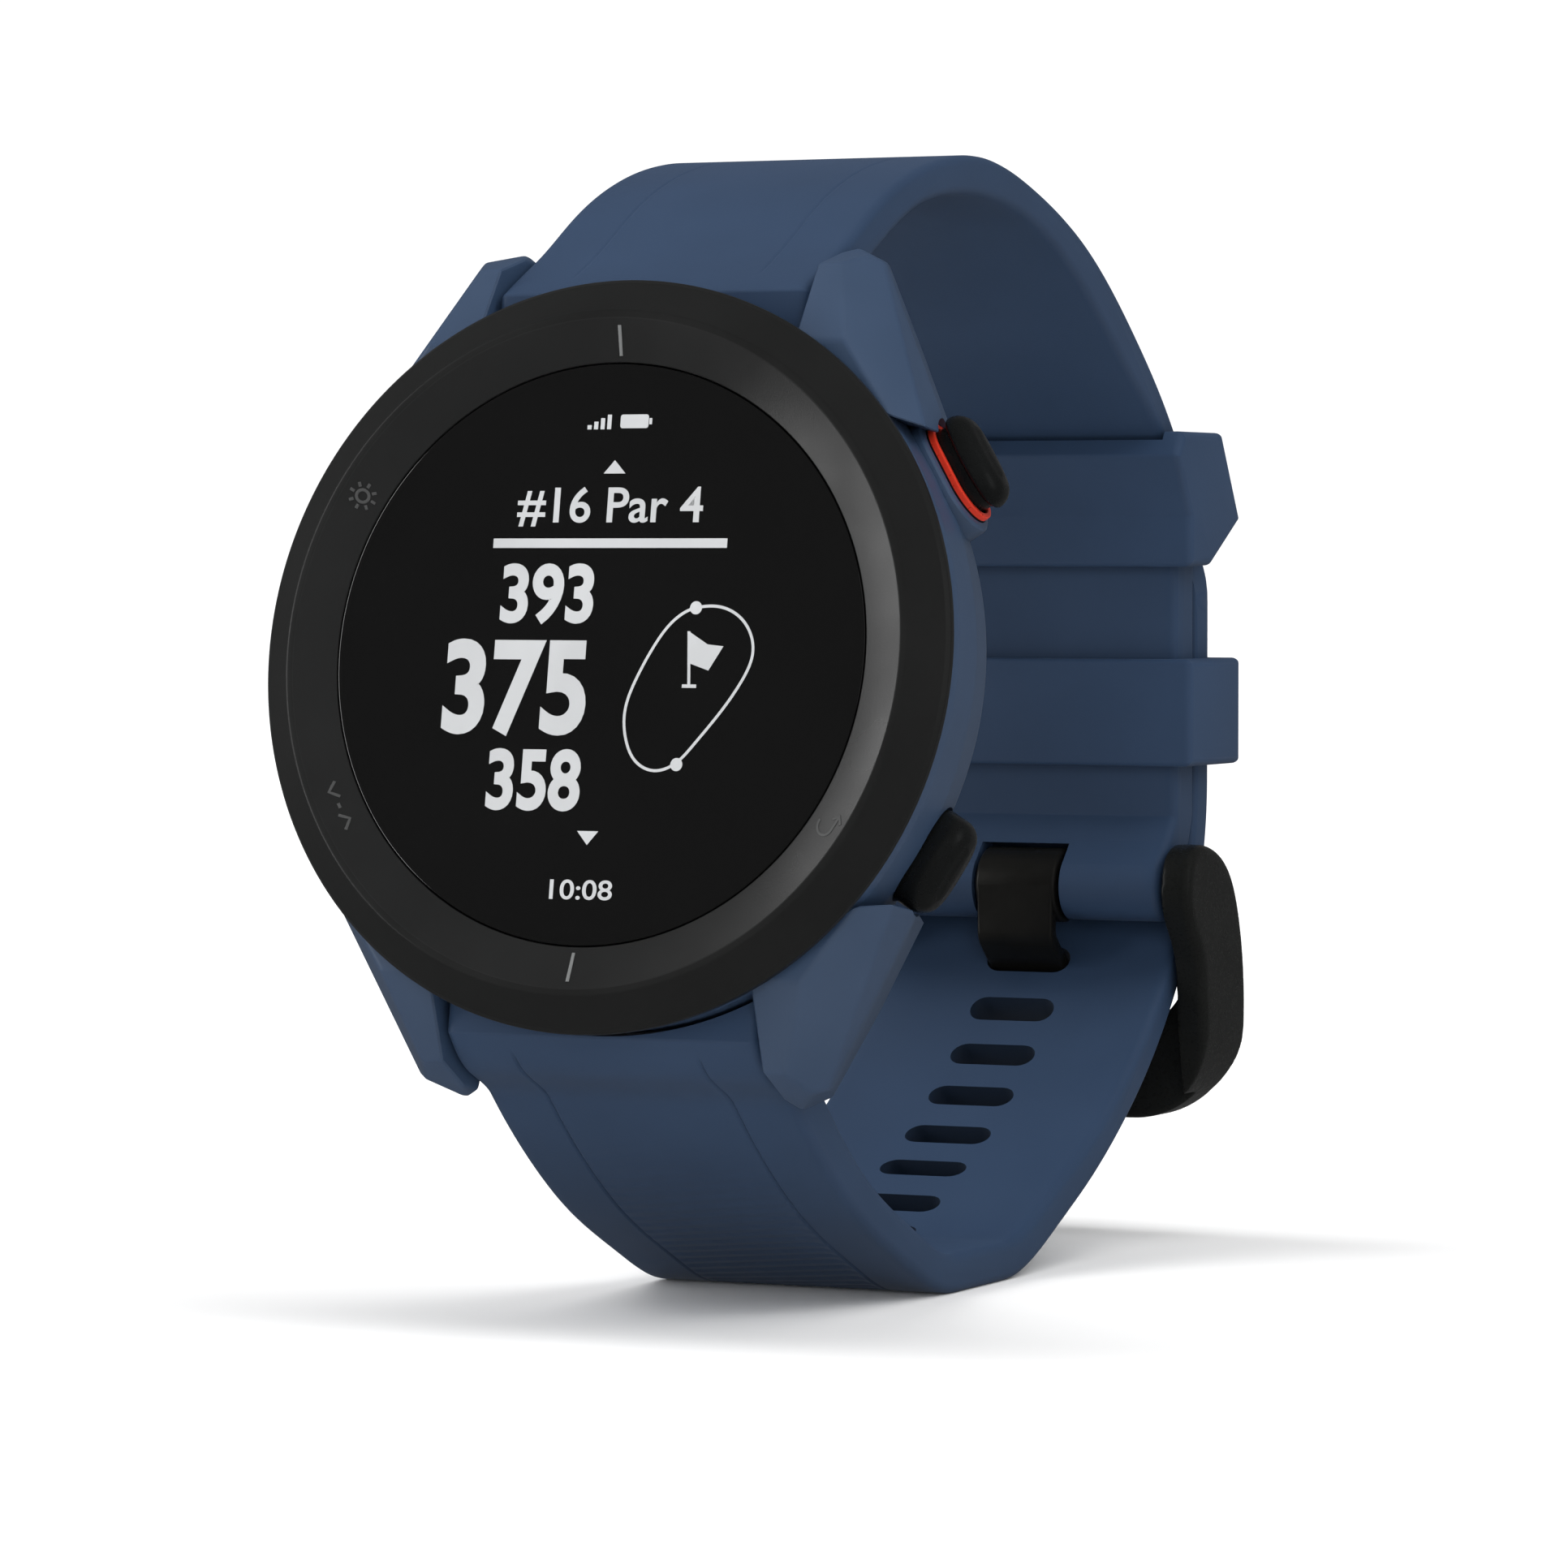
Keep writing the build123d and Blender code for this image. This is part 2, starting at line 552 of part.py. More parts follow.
def make_lower_strap():
    """The 6 o'clock half: from the lugs round the bottom and up outside the other half, with its slots."""
    outer = lower_outer_wire()
    inner = Spline(
        (TAIL_FRONT, -9.0), (66.4, -13.8), (64.3, -18.5), (61.1, -22.7), (57.3, -26.3), (52.9, -29.4),
        (48.0, -32.2), (43.4, -34.2), (36.0, FLOOR + STRAP_THICKNESS),
        tangents=[(0, -1), (-1, 0)],
    )
    inner_front = Spline(
        (28.5, FLOOR + STRAP_THICKNESS), (22.9, -34.9), (16.9, -31.9), (11.2, -27.6), (7.6, -24.0),
        tangents=[(-1, 0), (-0.7, 0.72)],
    )
    edges = outer + [
        Polyline((TAIL_BACK, 7.0), (TAIL_FRONT + 0.5, TAIL_TIP), (TAIL_FRONT, TAIL_TIP), (TAIL_FRONT, -9.0)),
        inner,
        Line((36.0, FLOOR + STRAP_THICKNESS), (28.5, FLOOR + STRAP_THICKNESS)),
        inner_front,
        Polyline((7.6, -24.0), flat((-21.75, -8.4)), flat((-18.5, -8.4)), flat((-18.5, -3.2)),
                 flat((-21.75, -3.2))),
    ]
    strap = side_profile(edges, STRAP_WIDTH / 2)
    for place in slot_planes():
        strap -= place * Pos(0, 0, -STRAP_THICKNESS - 2) * extrude(SlotOverall(SLOT_WIDTH, SLOT_HEIGHT), 8)
    tip = SlotOverall(60, STRAP_WIDTH)
    rounded = Plane.XZ * Pos(0, TAIL_TIP - 30) * Rot(0, 0, 90) * tip
    corners = Pos(0, TAIL_BACK - 1, TAIL_TIP - 5 + 50) * Box(STRAP_WIDTH + 1, 8, 100)
    corners -= Pos(0, TAIL_BACK - 1 + 10, 0) * extrude(rounded, 20)
    strap -= corners
    return strap - spring_bar_room(-1) - case_room()


def slot_planes():
    """A plane on the outer face at each slot. The tongue's own slot comes first."""
    rear, tail = lower_outer_wire()[-2:]
    planes = []
    tongue_at = rear.length - TONGUE_DISTANCE
    for step in range(-SLOTS_BELOW, SLOTS_ABOVE + 1):
        along = tongue_at + step * SLOT_PITCH
        curve = rear
        if along > rear.length:
            along -= rear.length
            curve = tail
        point = curve @ (along / curve.length)
        direction = curve % (along / curve.length)
        outward = Vector(0, direction.Y, -direction.X)
        planes.append((abs(step), Plane(origin=(0, point.X, point.Y), x_dir=(1, 0, 0), z_dir=outward)))
    return [plane for _, plane in sorted(planes, key=lambda item: item[0])]


def case_room():
    """The room for the case, which the strap's ends follow."""
    return on_head(turned((0, 0), *CASE_ROOM, (0, -12)))


def spring_bar_room(side):
    """The tunnel for a spring bar and the notch for its lever, in the strap end at 12 (1) or 6 o'clock (-1)."""
    u = side * PIN_U
    tunnel = rod_x(BAR_RADIUS + 0.03, u, PIN_H, -12, 12)
    notch = Pos(LEVER_X - RELEASE_TRAVEL / 2, u, PIN_H - 3.5) * Box(1.6 + RELEASE_TRAVEL, 1.6, 7.0)
    return on_head(tunnel + notch)


# ---------------------------------------------------------------- spring bars
def make_bar_tube(side):
    u = side * PIN_U
    tube = rod_x(BAR_RADIUS, u, PIN_H, -BAR_HALF, BAR_HALF)
    tube -= rod_x(BAR_BORE, u, PIN_H, -BAR_HALF + 1.0, BAR_HALF + 1)
    window = Pos(LEVER_X - RELEASE_TRAVEL / 2, u, PIN_H - 1.0) * Box(0.9 + RELEASE_TRAVEL + 0.2, 1.0, 2.0)
    fixed_tip = rod_x(TIP_RADIUS, u, PIN_H, -TIP_REACH, -BAR_HALF + 0.1)
    return on_head(tube - window + fixed_tip)


def make_release_tip(side):
    """The sliding tip at the 3 o'clock end, with the lever that draws it back."""
    u = side * PIN_U
    slide = rod_x(BAR_BORE - RUNNING, u, PIN_H, LEVER_X - 0.8, BAR_HALF - 0.3)
    tip = rod_x(TIP_RADIUS, u, PIN_H, BAR_HALF - 0.5, TIP_REACH)
    lever = Pos(LEVER_X, u, PIN_H - 1.55) * Cylinder(0.4, 3.1)
    knob = Pos(LEVER_X, u, PIN_H - 3.0) * Cylinder(0.5, 0.5)
    return on_head(slide + tip + lever + knob)


def make_bar_spring(side):
    """The coil that pushes the sliding tip out."""
    u = side * PIN_U
    low = -1.0
    high = LEVER_X - 0.85
    coil = rod_x(BAR_BORE - 0.03, u, PIN_H, low, high) - rod_x(0.3, u, PIN_H, low - 1, high + 1)
    return on_head(coil)


# ---------------------------------------------------------------- buckle
def arm_profile():
    """The side view of the buckle's arms, bowed out past the tail."""
    return [
        (PIN_Y - 2.5, PIN_Z + 0.4), (PIN_Y - 1.4, PIN_Z + 2.4), (PIN_Y + 2.0, PIN_Z + 2.6), (67.5, -15.0),
        (69.4, -18.4), (70.3, -24.0), (69.6, -28.6), (67.7, -31.2), (65.1, -31.3), (63.6, -28.4),
        (62.8, -24.0), (62.2, -20.4), (60.6, -18.2),
    ]


def buckle_outline(half_width, low, corner):
    """A front view with two rounded lower corners, as a block through the buckle."""
    tall = 40.0
    block = Pos(0, 65, low + tall / 2) * Box(2 * half_width, 24, tall)
    lower = block.edges().filter_by(Axis.Y).sort_by(Axis.Z)[:2]
    return fillet(lower, corner)


def make_buckle_frame():
    """Two arms and the deep outer bar, in one casting."""
    face = Plane.YZ * make_face(Spline(*arm_profile(), periodic=True))
    arm = Pos(ARM_INNER, 0, 0) * extrude(face, ARM_OUTER - ARM_INNER)
    arm = fillet(arm.faces().sort_by(Axis.X)[-1].edges(), 0.6)
    height = WINDOW_SIDE - BAR_LOW
    depth = BAR_BACK - BAR_FRONT
    bar = Pos(0, (BAR_FRONT + BAR_BACK) / 2, BAR_LOW + height / 2) * Box(2 * ARM_INNER + 2.0, depth, height)
    bar -= buckle_outline(ARM_INNER, BAR_HIGH, WINDOW_SIDE - BAR_HIGH)
    frame = arm + mirror(arm, Plane.YZ) + bar
    frame &= buckle_outline(ARM_OUTER, BAR_LOW, FRAME_CORNER)
    frame -= rod_x(BUCKLE_PIN_RADIUS + 0.01, PIN_Y, PIN_Z, -12.0, 12.0)
    # channel of the bar in which the tongue's tip lies
    frame -= Pos(0, BAR_BACK + 0.4, BAR_LOW + 3) * Box(TONGUE_TIP_WIDTH + 0.6, 2.0, 12.0)
    return frame


def make_buckle_pin():
    return rod_x(BUCKLE_PIN_RADIUS, PIN_Y, PIN_Z, -11.95, 11.95)


def tongue_crossing():
    """Where the tongue passes through the tail: a point on the outer face and the way out, both (y, z)."""
    plane = slot_planes()[0]
    return plane.origin + plane.y_dir * TONGUE_DROP, plane.z_dir


def make_buckle_tongue():
    """A barrel on the pin, a root along the wrist side, a crank through the slot and a tip on the bar."""
    point, outward = tongue_crossing()
    half = TONGUE_THICKNESS / 2
    start = point - outward * (STRAP_THICKNESS + 1.0)
    finish = point + outward * 0.9
    centre_line = [
        (PIN_Y - BARREL_RADIUS + half, PIN_Z), (PIN_Y - BARREL_RADIUS + half, start.Z + 1.1), (start.Y, start.Z),
        (finish.Y, finish.Z), (69.3, -26.0), (69.45, -30.0),
    ]
    band = offset(Polyline(*centre_line), half, side=Side.BOTH)
    body = extrude(Plane.YZ * make_face(band), TONGUE_TIP_WIDTH / 2, both=True)
    barrel = rod_x(BARREL_RADIUS, PIN_Y, PIN_Z, -TONGUE_WIDTH / 2, TONGUE_WIDTH / 2)
    tongue = barrel + body
    return tongue - rod_x(BUCKLE_PIN_RADIUS + RUNNING, PIN_Y, PIN_Z, -20, 20)


# ---------------------------------------------------------------- keepers
def make_loop(outer, inner):
    """A keeper from the side views of its outside and of its hollow."""
    shell = side_profile(Polyline(*outer, close=True), KEEPER_HALF)
    hollow = side_profile(Polyline(*inner, close=True), STRAP_WIDTH / 2 + KEEPER_GAP)
    return shell - hollow


def make_lower_keeper():
    low, high = LOWER_KEEPER
    front = INNER_FRONT - KEEPER_GAP
    back = TAIL_BACK + KEEPER_GAP
    face = back + 1.35
    outer = [(front - KEEPER_WALL, low), (front - KEEPER_WALL, high), (face, high), (face, low)]
    inner = [(front, low - 1), (front, high + 1), (back, high + 1), (back, low - 1)]
    return make_loop(outer, inner)


def make_upper_keeper():
    """The keeper at the tail's tip. Its walls follow the bend of the strap, and the outer one slants."""
    front = INNER_FRONT - KEEPER_GAP
    face = front - KEEPER_WALL
    outer = [(face, 4.9), (face, 8.2), (59.9, 12.1), (61.0, 13.7), (67.9, 13.7), (71.2, 8.0), (66.0, 5.0)]
    inner = [(front, 3.0), (front, 8.6), (60.6, 13.2), (60.6, 15.0), (66.4, 15.0), (70.2, 8.3), (70.2, 3.0)]
    return make_loop(outer, inner)


# ---------------------------------------------------------------- assembly
def build():
    """Every node in the loop frame. A list is a group of separate solids."""
    nodes = {
        "bezel": on_head(make_bezel()),
        "lens": on_head(make_lens()),
        "lens_gasket": on_head(make_lens_gasket()),
        "bezel_gasket": on_head(make_bezel_gasket()),
        "main_case": on_head(make_main_case()),
        "display_module": on_head(make_display_module()),
        "light_guide": on_head(make_light_guide()),
        "display_flex": on_head(make_display_flex()),
        "inner_frame": on_head(make_inner_frame()),
        "main_board": on_head(make_main_board()),
        "gps_antenna": on_head(make_gps_antenna()),
        "shield_can": on_head(make_shield_can()),
        "battery": on_head(make_battery()),
        "button_switches": [on_head(switch) for switch in make_switches()],
        "back_gasket": on_head(make_back_gasket()),
        "back_cover": on_head(make_back_cover()),
        "back_cover_screws": [on_head(screw) for screw in make_screws()],
        "charging_port": on_head(make_charging_port()),
        "charging_contacts": [on_head(contact) for contact in make_charging_contacts()],
        "select_button_ring": on_head(make_select_ring()),
        "button_bushes": [on_head(make_bush(angle)) for angle in BUTTON_ANGLES.values()],
        "button_seals": [on_head(make_seal(angle)) for angle in BUTTON_ANGLES.values()],
        "upper_strap": make_upper_strap(),
        "lower_strap": make_lower_strap(),
        "upper_keeper": make_upper_keeper(),
        "lower_keeper": make_lower_keeper(),
        "buckle_frame": make_buckle_frame(),
        "buckle_pin": make_buckle_pin(),
        "buckle_tongue": make_buckle_tongue(),
    }
    for name, angle in BUTTON_ANGLES.items():
        neck = NECK_TOP if name == "select" else BUTTON_UNDERSIDE
        nodes[f"{name}_button"] = on_head(make_button(angle, BUTTON_OUTER[name], neck))
        nodes[f"{name}_button_clip"] = on_head(make_clip(angle))
        nodes[f"{name}_button_spring"] = on_head(make_button_spring(angle))
    for name, side in (("upper", 1), ("lower", -1)):
        nodes[f"{name}_spring_bar"] = make_bar_tube(side)
        nodes[f"{name}_release_tip"] = make_release_tip(side)
        nodes[f"{name}_bar_spring"] = make_bar_spring(side)
    return nodes


def solids_of(shape):
    """The separate solids of a node."""
    shapes = shape if isinstance(shape, list) else [shape]
    return [solid for each in shapes for solid in each.solids()]


def base_offset(nodes):
    """The move that brings the origin to the middle of the base."""
    box = Compound(children=[solid for shape in nodes.values() for solid in solids_of(shape)]).bounding_box()
    return (-(box.min.X + box.max.X) / 2, -(box.min.Y + box.max.Y) / 2, -box.min.Z)


os.makedirs("parts", exist_ok=True)
NODES = build()
OFFSET = base_offset(NODES)
for node_name, node_shape in NODES.items():
    solids = [Pos(*OFFSET) * solid for solid in solids_of(node_shape)]
    export_step(Compound(children=solids) if len(solids) > 1 else solids[0], f"parts/{node_name}.step")
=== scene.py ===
"""The looks of a golf GPS watch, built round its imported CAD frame.

Lengths are written in millimetres and turned into metres when a mesh is made. Two frames are used, both with
their origin at the centre of the bezel's rim:
  loop frame (x, y, z): parallel to the part, for the strap, the keepers and the buckle
  head frame (x, u, h): x to 3 o'clock, u to 12 o'clock, h out of the dial, for the case and all on it
"""

import json
from math import cos, pi, radians, sin

import bmesh
import bpy
import numpy as np
from mathutils import Matrix, Vector


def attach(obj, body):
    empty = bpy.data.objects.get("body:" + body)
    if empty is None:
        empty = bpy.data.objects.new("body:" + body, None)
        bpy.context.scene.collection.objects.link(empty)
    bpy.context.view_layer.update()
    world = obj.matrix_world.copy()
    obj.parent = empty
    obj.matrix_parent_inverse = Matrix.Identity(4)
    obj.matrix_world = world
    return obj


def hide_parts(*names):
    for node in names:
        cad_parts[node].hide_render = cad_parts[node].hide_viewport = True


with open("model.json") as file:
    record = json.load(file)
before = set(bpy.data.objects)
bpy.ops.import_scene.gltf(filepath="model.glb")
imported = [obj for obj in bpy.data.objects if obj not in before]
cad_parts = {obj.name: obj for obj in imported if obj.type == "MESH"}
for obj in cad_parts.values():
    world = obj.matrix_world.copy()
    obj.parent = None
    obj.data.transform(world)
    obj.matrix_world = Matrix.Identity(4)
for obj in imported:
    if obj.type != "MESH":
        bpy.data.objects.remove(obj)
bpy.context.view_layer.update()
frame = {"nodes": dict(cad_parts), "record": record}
MM = 0.001

# ---------------------------------------------------------------- driving dimensions, as in the part
HEAD_TILT = radians(9.2)
RIM_RADIUS = 21.85
LENS_RADIUS = 16.85
LENS_TOP = 0.55
CREST_RADIUS = 19.6
CREST_HEIGHT = 1.4
BEZEL_BOTTOM = -1.2
CASE_BACK = -10.1
STRAP_HALF = 10.0
STRAP_THICKNESS = 2.4
FLOOR = -39.1
BASE_Y = 32.25
INNER_FRONT, INNER_BACK = 63.5, 66.9
TAIL_FRONT, TAIL_BACK, TAIL_TIP = 67.1, 69.6, 11.8
PIN_Y, PIN_Z = 62.5, -16.0
TUBE_RADIUS = 2.25
BAR_U, BAR_H = 23.0, -7.6
LEVER_X, LEVER_ROOM, LEVER_HALF = 6.3, 1.4, 0.8
CASE_ROOM = [(21.7, 0), (21.7, -2.2), (21.55, -5.0), (21.05, -7.6), (20.15, -9.5), (20.15, -12)]
BUTTON_ANGLES = {"light": 300, "select": 58, "down": 240, "back": 120}
BUTTON_OUTER = {"light": 23.2, "select": 24.3, "down": 23.8, "back": 23.2}
BUTTON_HEIGHT, BUTTON_LENGTH, BUTTON_WIDTH = -6.8, 6.0, 3.6
BUTTON_UNDERSIDE = 20.6
POCKET_FLOOR, POCKET_GAP = 20.0, 0.15
RING_SEAT, RING_SEAT_GAP = 20.8, 0.1
NOTCH_HALF, BARREL_ROOM = 3.1, 2.8
BARREL_RADIUS, BARREL_HALF = 2.45, 2.8
TONGUE_HALF, TONGUE_THICKNESS = 2.65, 1.0
PIN_HOLE = 0.8
COLLAR_STEP, COLLAR_BOTTOM, COLLAR_TOP = 1.5, 19.6, 21.75
HOLLOW_RADIUS, BEZEL_SEAT_RADIUS = 18.93, 19.93

MOUNTS = {mount["name"]: mount for mount in frame["record"]["mounts"]}
RIM_CENTRE = Vector(MOUNTS["strap_base"]["pos_m"]) / MM - Vector((0, BASE_Y, FLOOR))


# ---------------------------------------------------------------- frames
def loop_point(x, y, z):
    """A loop-frame point in the part's frame, in millimetres."""
    return RIM_CENTRE + Vector((x, y, z))


def head_point(x, u, h):
    """A head-frame point in the part's frame, in millimetres."""
    return loop_point(x, u * sin(HEAD_TILT) - h * cos(HEAD_TILT), u * cos(HEAD_TILT) + h * sin(HEAD_TILT))


def flat(u, h):
    """A head-frame place in the middle plane, as (y, z) of the loop frame."""
    point = head_point(0, u, h) - RIM_CENTRE
    return (point.y, point.z)


def button_point(angle):
    """Gives a function from (across, down, out) along a button's axis to the part's frame."""
    sine, cosine = sin(radians(angle)), cos(radians(angle))

    def place(across, down, out):
        return head_point(across * cosine + out * sine, -across * sine + out * cosine, BUTTON_HEIGHT - down)

    return place


# ---------------------------------------------------------------- outlines
def smooth_line(points, start, end, spacing):
    """A smooth curve through points, with its directions at both ends, sampled at about even steps."""
    points = np.array(points, float)
    chord = np.hypot(*np.diff(points, axis=0).T)
    at = np.concatenate([[0], np.cumsum(chord)])
    count = len(points)
    matrix = np.zeros((count, count))
    right = np.zeros((count, 2))
    matrix[0, 0] = matrix[-1, -1] = 1
    right[0] = np.array(start) / np.hypot(*start)
    right[-1] = np.array(end) / np.hypot(*end)
    for i in range(1, count - 1):
        before, after = chord[i - 1], chord[i]
        matrix[i, i - 1 : i + 2] = after, 2 * (before + after), before
        slope_in = (points[i] - points[i - 1]) / before
        slope_out = (points[i + 1] - points[i]) / after
        right[i] = 3 * (after * slope_in + before * slope_out)
    slopes = np.linalg.solve(matrix, right)
    steps = np.linspace(0, at[-1], max(3, int(at[-1] / spacing) + 1))
    found = []
    for value in steps:
        i = min(int(np.searchsorted(at, value, "right")) - 1, count - 2)
        t = (value - at[i]) / chord[i]
        found.append(
            (2 * t**3 - 3 * t**2 + 1) * points[i] + (t**3 - 2 * t**2 + t) * chord[i] * slopes[i]
            + (3 * t**2 - 2 * t**3) * points[i + 1] + (t**3 - t**2) * chord[i] * slopes[i + 1]
        )
    return np.array(found)


def straight_line(start, end, spacing):
    start, end = np.array(start, float), np.array(end, float)
    count = max(2, int(np.hypot(*(end - start)) / spacing) + 1)
    return start + (end - start) * np.linspace(0, 1, count)[:, None]


def joined(*lines):
    """One outline from several lines that meet end to end."""
    points = [lines[0][0]]
    for line in lines:
        for point in line:
            if np.hypot(*(np.array(point) - points[-1])) > 1e-4:
                points.append(np.array(point, float))
    if np.hypot(*(points[0] - points[-1])) < 1e-4:
        points.pop()
    return np.array(points)


def rounded(corners, radius, steps=6, closed=True):
    """An outline with its corners rounded. The radius is one number or one for each corner."""
    corners = [np.array(corner, float) for corner in corners]
    radii = [radius] * len(corners) if np.isscalar(radius) else radius
    found = []
    for i, corner in enumerate(corners):
        if not closed and i in (0, len(corners) - 1) or radii[i] == 0:
            found.append(corner)
            continue
        before = corners[i - 1] - corner
        after = corners[(i + 1) % len(corners)] - corner
        room = (0.49 if closed else 0.99) * min(np.hypot(*before), np.hypot(*after))
        before /= np.hypot(*before)
        after /= np.hypot(*after)
        half = np.arccos(np.clip(before @ after, -1, 1)) / 2
        reach = min(radii[i] / np.tan(half), room)
        bisector = before + after
        bisector /= np.hypot(*bisector)
        centre = corner + bisector * reach / np.cos(half)
        size = reach * np.tan(half)
        first = corner + before * reach - centre
        last = corner + after * reach - centre
        turn = np.arctan2(first[0] * last[1] - first[1] * last[0], first @ last)
        for step in range(steps + 1):
            angle = turn * step / steps
            spin = np.array([[np.cos(angle), -np.sin(angle)], [np.sin(angle), np.cos(angle)]])
            found.append(centre + spin @ first * (size / np.hypot(*first)))
    return np.array(found)


def softened(outline, radius, sharper_than=22):
    """A closed outline whose sharp corners are rounded."""
    outline = np.array(outline)
    count = len(outline)
    before = outline - np.roll(outline, 1, 0)
    after = np.roll(outline, -1, 0) - outline
    turn = np.abs(np.arctan2(
        before[:, 0] * after[:, 1] - before[:, 1] * after[:, 0], np.sum(before * after, 1)))
    corners = np.nonzero(turn > np.radians(sharper_than))[0]
    length = np.hypot(*after.T)
    keep = np.ones(count, bool)
    arcs = {}
    for corner in corners:
        ends = []
        for step in (-1, 1):
            left, i = 1.02 * radius * np.tan(turn[corner] / 2), corner
            while True:
                edge = length[i - 1] if step < 0 else length[i]
                k = (i + step) % count
                if edge > left or k in corners:
                    share = min(0.49 if k in corners else 1.0, left / edge)
                    ends.append(outline[i] + (outline[k] - outline[i]) * share)
                    break
                left -= edge
                i = k
                keep[i] = False
        arcs[corner] = rounded([ends[0], outline[corner], ends[1]], radius, 8, closed=False)
    found = []
    for i in range(count):
        if i in arcs:
            found.extend(arcs[i])
        elif keep[i]:
            found.append(outline[i])
    return joined(np.array(found))


def arc(centre, radius, start, end, steps=16):
    """Points on an arc, with its angles in degrees."""
    angles = np.radians(np.linspace(start, end, steps + 1))
    return np.array(centre) + radius * np.c_[np.cos(angles), np.sin(angles)]


def circle(centre, radius, count=48, start=0):
    """Points evenly round a circle."""
    return arc(centre, radius, start, start + 360 - 360 / count, count - 1)


def racetrack(length, width, steps=20):
    """A slot-shaped outline along the first axis."""
    reach = (length - width) / 2
    return joined(arc((reach, 0), width / 2, -90, 90, steps), arc((-reach, 0), width / 2, 90, 270, steps))


def outward_normals(outline):
    """The outward direction at each point of a closed outline."""
    ahead = np.roll(outline, -1, 0) - outline
    behind = outline - np.roll(outline, 1, 0)
    ahead /= np.hypot(*ahead.T)[:, None]
    behind /= np.hypot(*behind.T)[:, None]
    along = ahead + behind
    along /= np.maximum(np.hypot(*along.T)[:, None], 1e-9)
    normals = np.c_[along[:, 1], -along[:, 0]]
    area = np.sum(outline[:, 0] * np.roll(outline[:, 1], -1) - outline[:, 1] * np.roll(outline[:, 0], -1))
    return normals if area > 0 else -normals


def inset_outline(outline, distance, window=60):
    """The outline moved inward, with the small loops that form at tight corners drawn together to a point."""
    moved = outline - outward_normals(outline) * np.broadcast_to(distance, len(outline))[:, None]
    count = len(moved)
    for _ in range(12):
        ahead = np.roll(moved, -1, 0) - moved
        found = None
        for gap in range(min(window, count // 3), 1, -1):
            other, other_ahead = np.roll(moved, -gap, 0), np.roll(ahead, -gap, 0)
            cross = ahead[:, 0] * other_ahead[:, 1] - ahead[:, 1] * other_ahead[:, 0]
            safe = np.where(np.abs(cross) < 1e-12, 1, cross)
            offset = other - moved
            first = (offset[:, 0] * other_ahead[:, 1] - offset[:, 1] * other_ahead[:, 0]) / safe
            second = (offset[:, 0] * ahead[:, 1] - offset[:, 1] * ahead[:, 0]) / safe
            hit = (np.abs(cross) > 1e-12) & (first > 0) & (first < 1) & (second > 0) & (second < 1)
            if hit.any():
                i = int(np.nonzero(hit)[0][0])
                found = (i, gap, moved[i] + ahead[i] * first[i])
                break
        if found is None:
            break
        i, gap, point = found
        moved[np.arange(i + 1, i + gap + 1) % count] = point
    return moved


# ---------------------------------------------------------------- meshes
def linked(name, data):
    """A new object in the scene."""
    made = bpy.data.objects.new(name, data)
    bpy.context.scene.collection.objects.link(made)
    return made


def evaluated_mesh(source):
    """A new mesh from an object's text or from its mesh with its modifiers applied."""
    bpy.context.view_layer.update()
    return bpy.data.meshes.new_from_object(source.evaluated_get(bpy.context.evaluated_depsgraph_get()))


def apply_modifiers(piece):
    result = evaluated_mesh(piece)
    piece.modifiers.clear()
    old = piece.data
    piece.data = result
    result.name = piece.name
    bpy.data.meshes.remove(old)


def add_mesh(name, points, faces, material=None, sharp=32):
    """A mesh object from points in millimetres, in the part's frame."""
    mesh = bpy.data.meshes.new(name)
    mesh.from_pydata([Vector(point) * MM for point in points], [], faces)
    work = bmesh.new()
    work.from_mesh(mesh)
    bmesh.ops.remove_doubles(work, verts=work.verts, dist=1e-7)
    bmesh.ops.recalc_face_normals(work, faces=work.faces)
    work.to_mesh(mesh)
    work.free()
    mesh.validate()
    piece = linked(name, mesh)
    if material:
        mesh.materials.append(material)
    shade(piece, sharp)
    return piece


def shade(piece, sharp):
    """Smooth shading, except across edges sharper than this many degrees."""
    piece.data.shade_smooth()
    piece.data.set_sharp_from_angle(angle=radians(sharp))


def loft(name, rings, material=None, closed=False, sharp=32):
    """A skin over rings of points. A closed one joins its last ring to its first, another has end faces."""
    size, count = len(rings[0]), len(rings)
    points = [point for each in rings for point in each]
    faces = []
    for i in range(count if closed else count - 1):
        n = (i + 1) % count
        for j in range(size):
            k = (j + 1) % size
            faces.append((i * size + j, i * size + k, n * size + k, n * size + j))
    if not closed:
        faces.append(tuple(range(size)))
        faces.append(tuple(range((count - 1) * size, count * size)))
    return add_mesh(name, points, faces, material, sharp)


def turned(name, profile, material=None, steps=240):
    """A closed ring about the dial's axis, from (radius, height) points."""
    rings = []
    for step in range(steps):
        angle = 2 * pi * step / steps
        rings.append([head_point(r * sin(angle), r * cos(angle), h) for r, h in profile])
    size = len(profile)
    points = [point for each in rings for point in each]
    faces = []
    for i in range(steps):
        for j in range(size):
            k = (j + 1) % size
            n = (i + 1) % steps
            faces.append((i * size + j, n * size + j, n * size + k, i * size + k))
    return add_mesh(name, points, faces, material)


def edge_rows(low, high, edge, steps=5):
    """(height, inset) rows of a block from low to high with rounded edges."""
    rows = []
    for step in range(steps + 1):
        angle = pi / 2 * step / steps
        rows.append((low + edge * (1 - sin(angle)), edge * (1 - cos(angle))))
    rows = rows[::-1]
    return rows + [(low + high - height, inset) for height, inset in rows[::-1]]


def rounded_block(name, outline, rows, place, material=None):
    """A block with this outline, whose rows are (height, inset), set in place by a function."""
    rings = []
    for height, inset in rows:
        rings.append([place(a, b, height) for a, b in inset_outline(outline, inset)])
    return loft(name, rings, material)


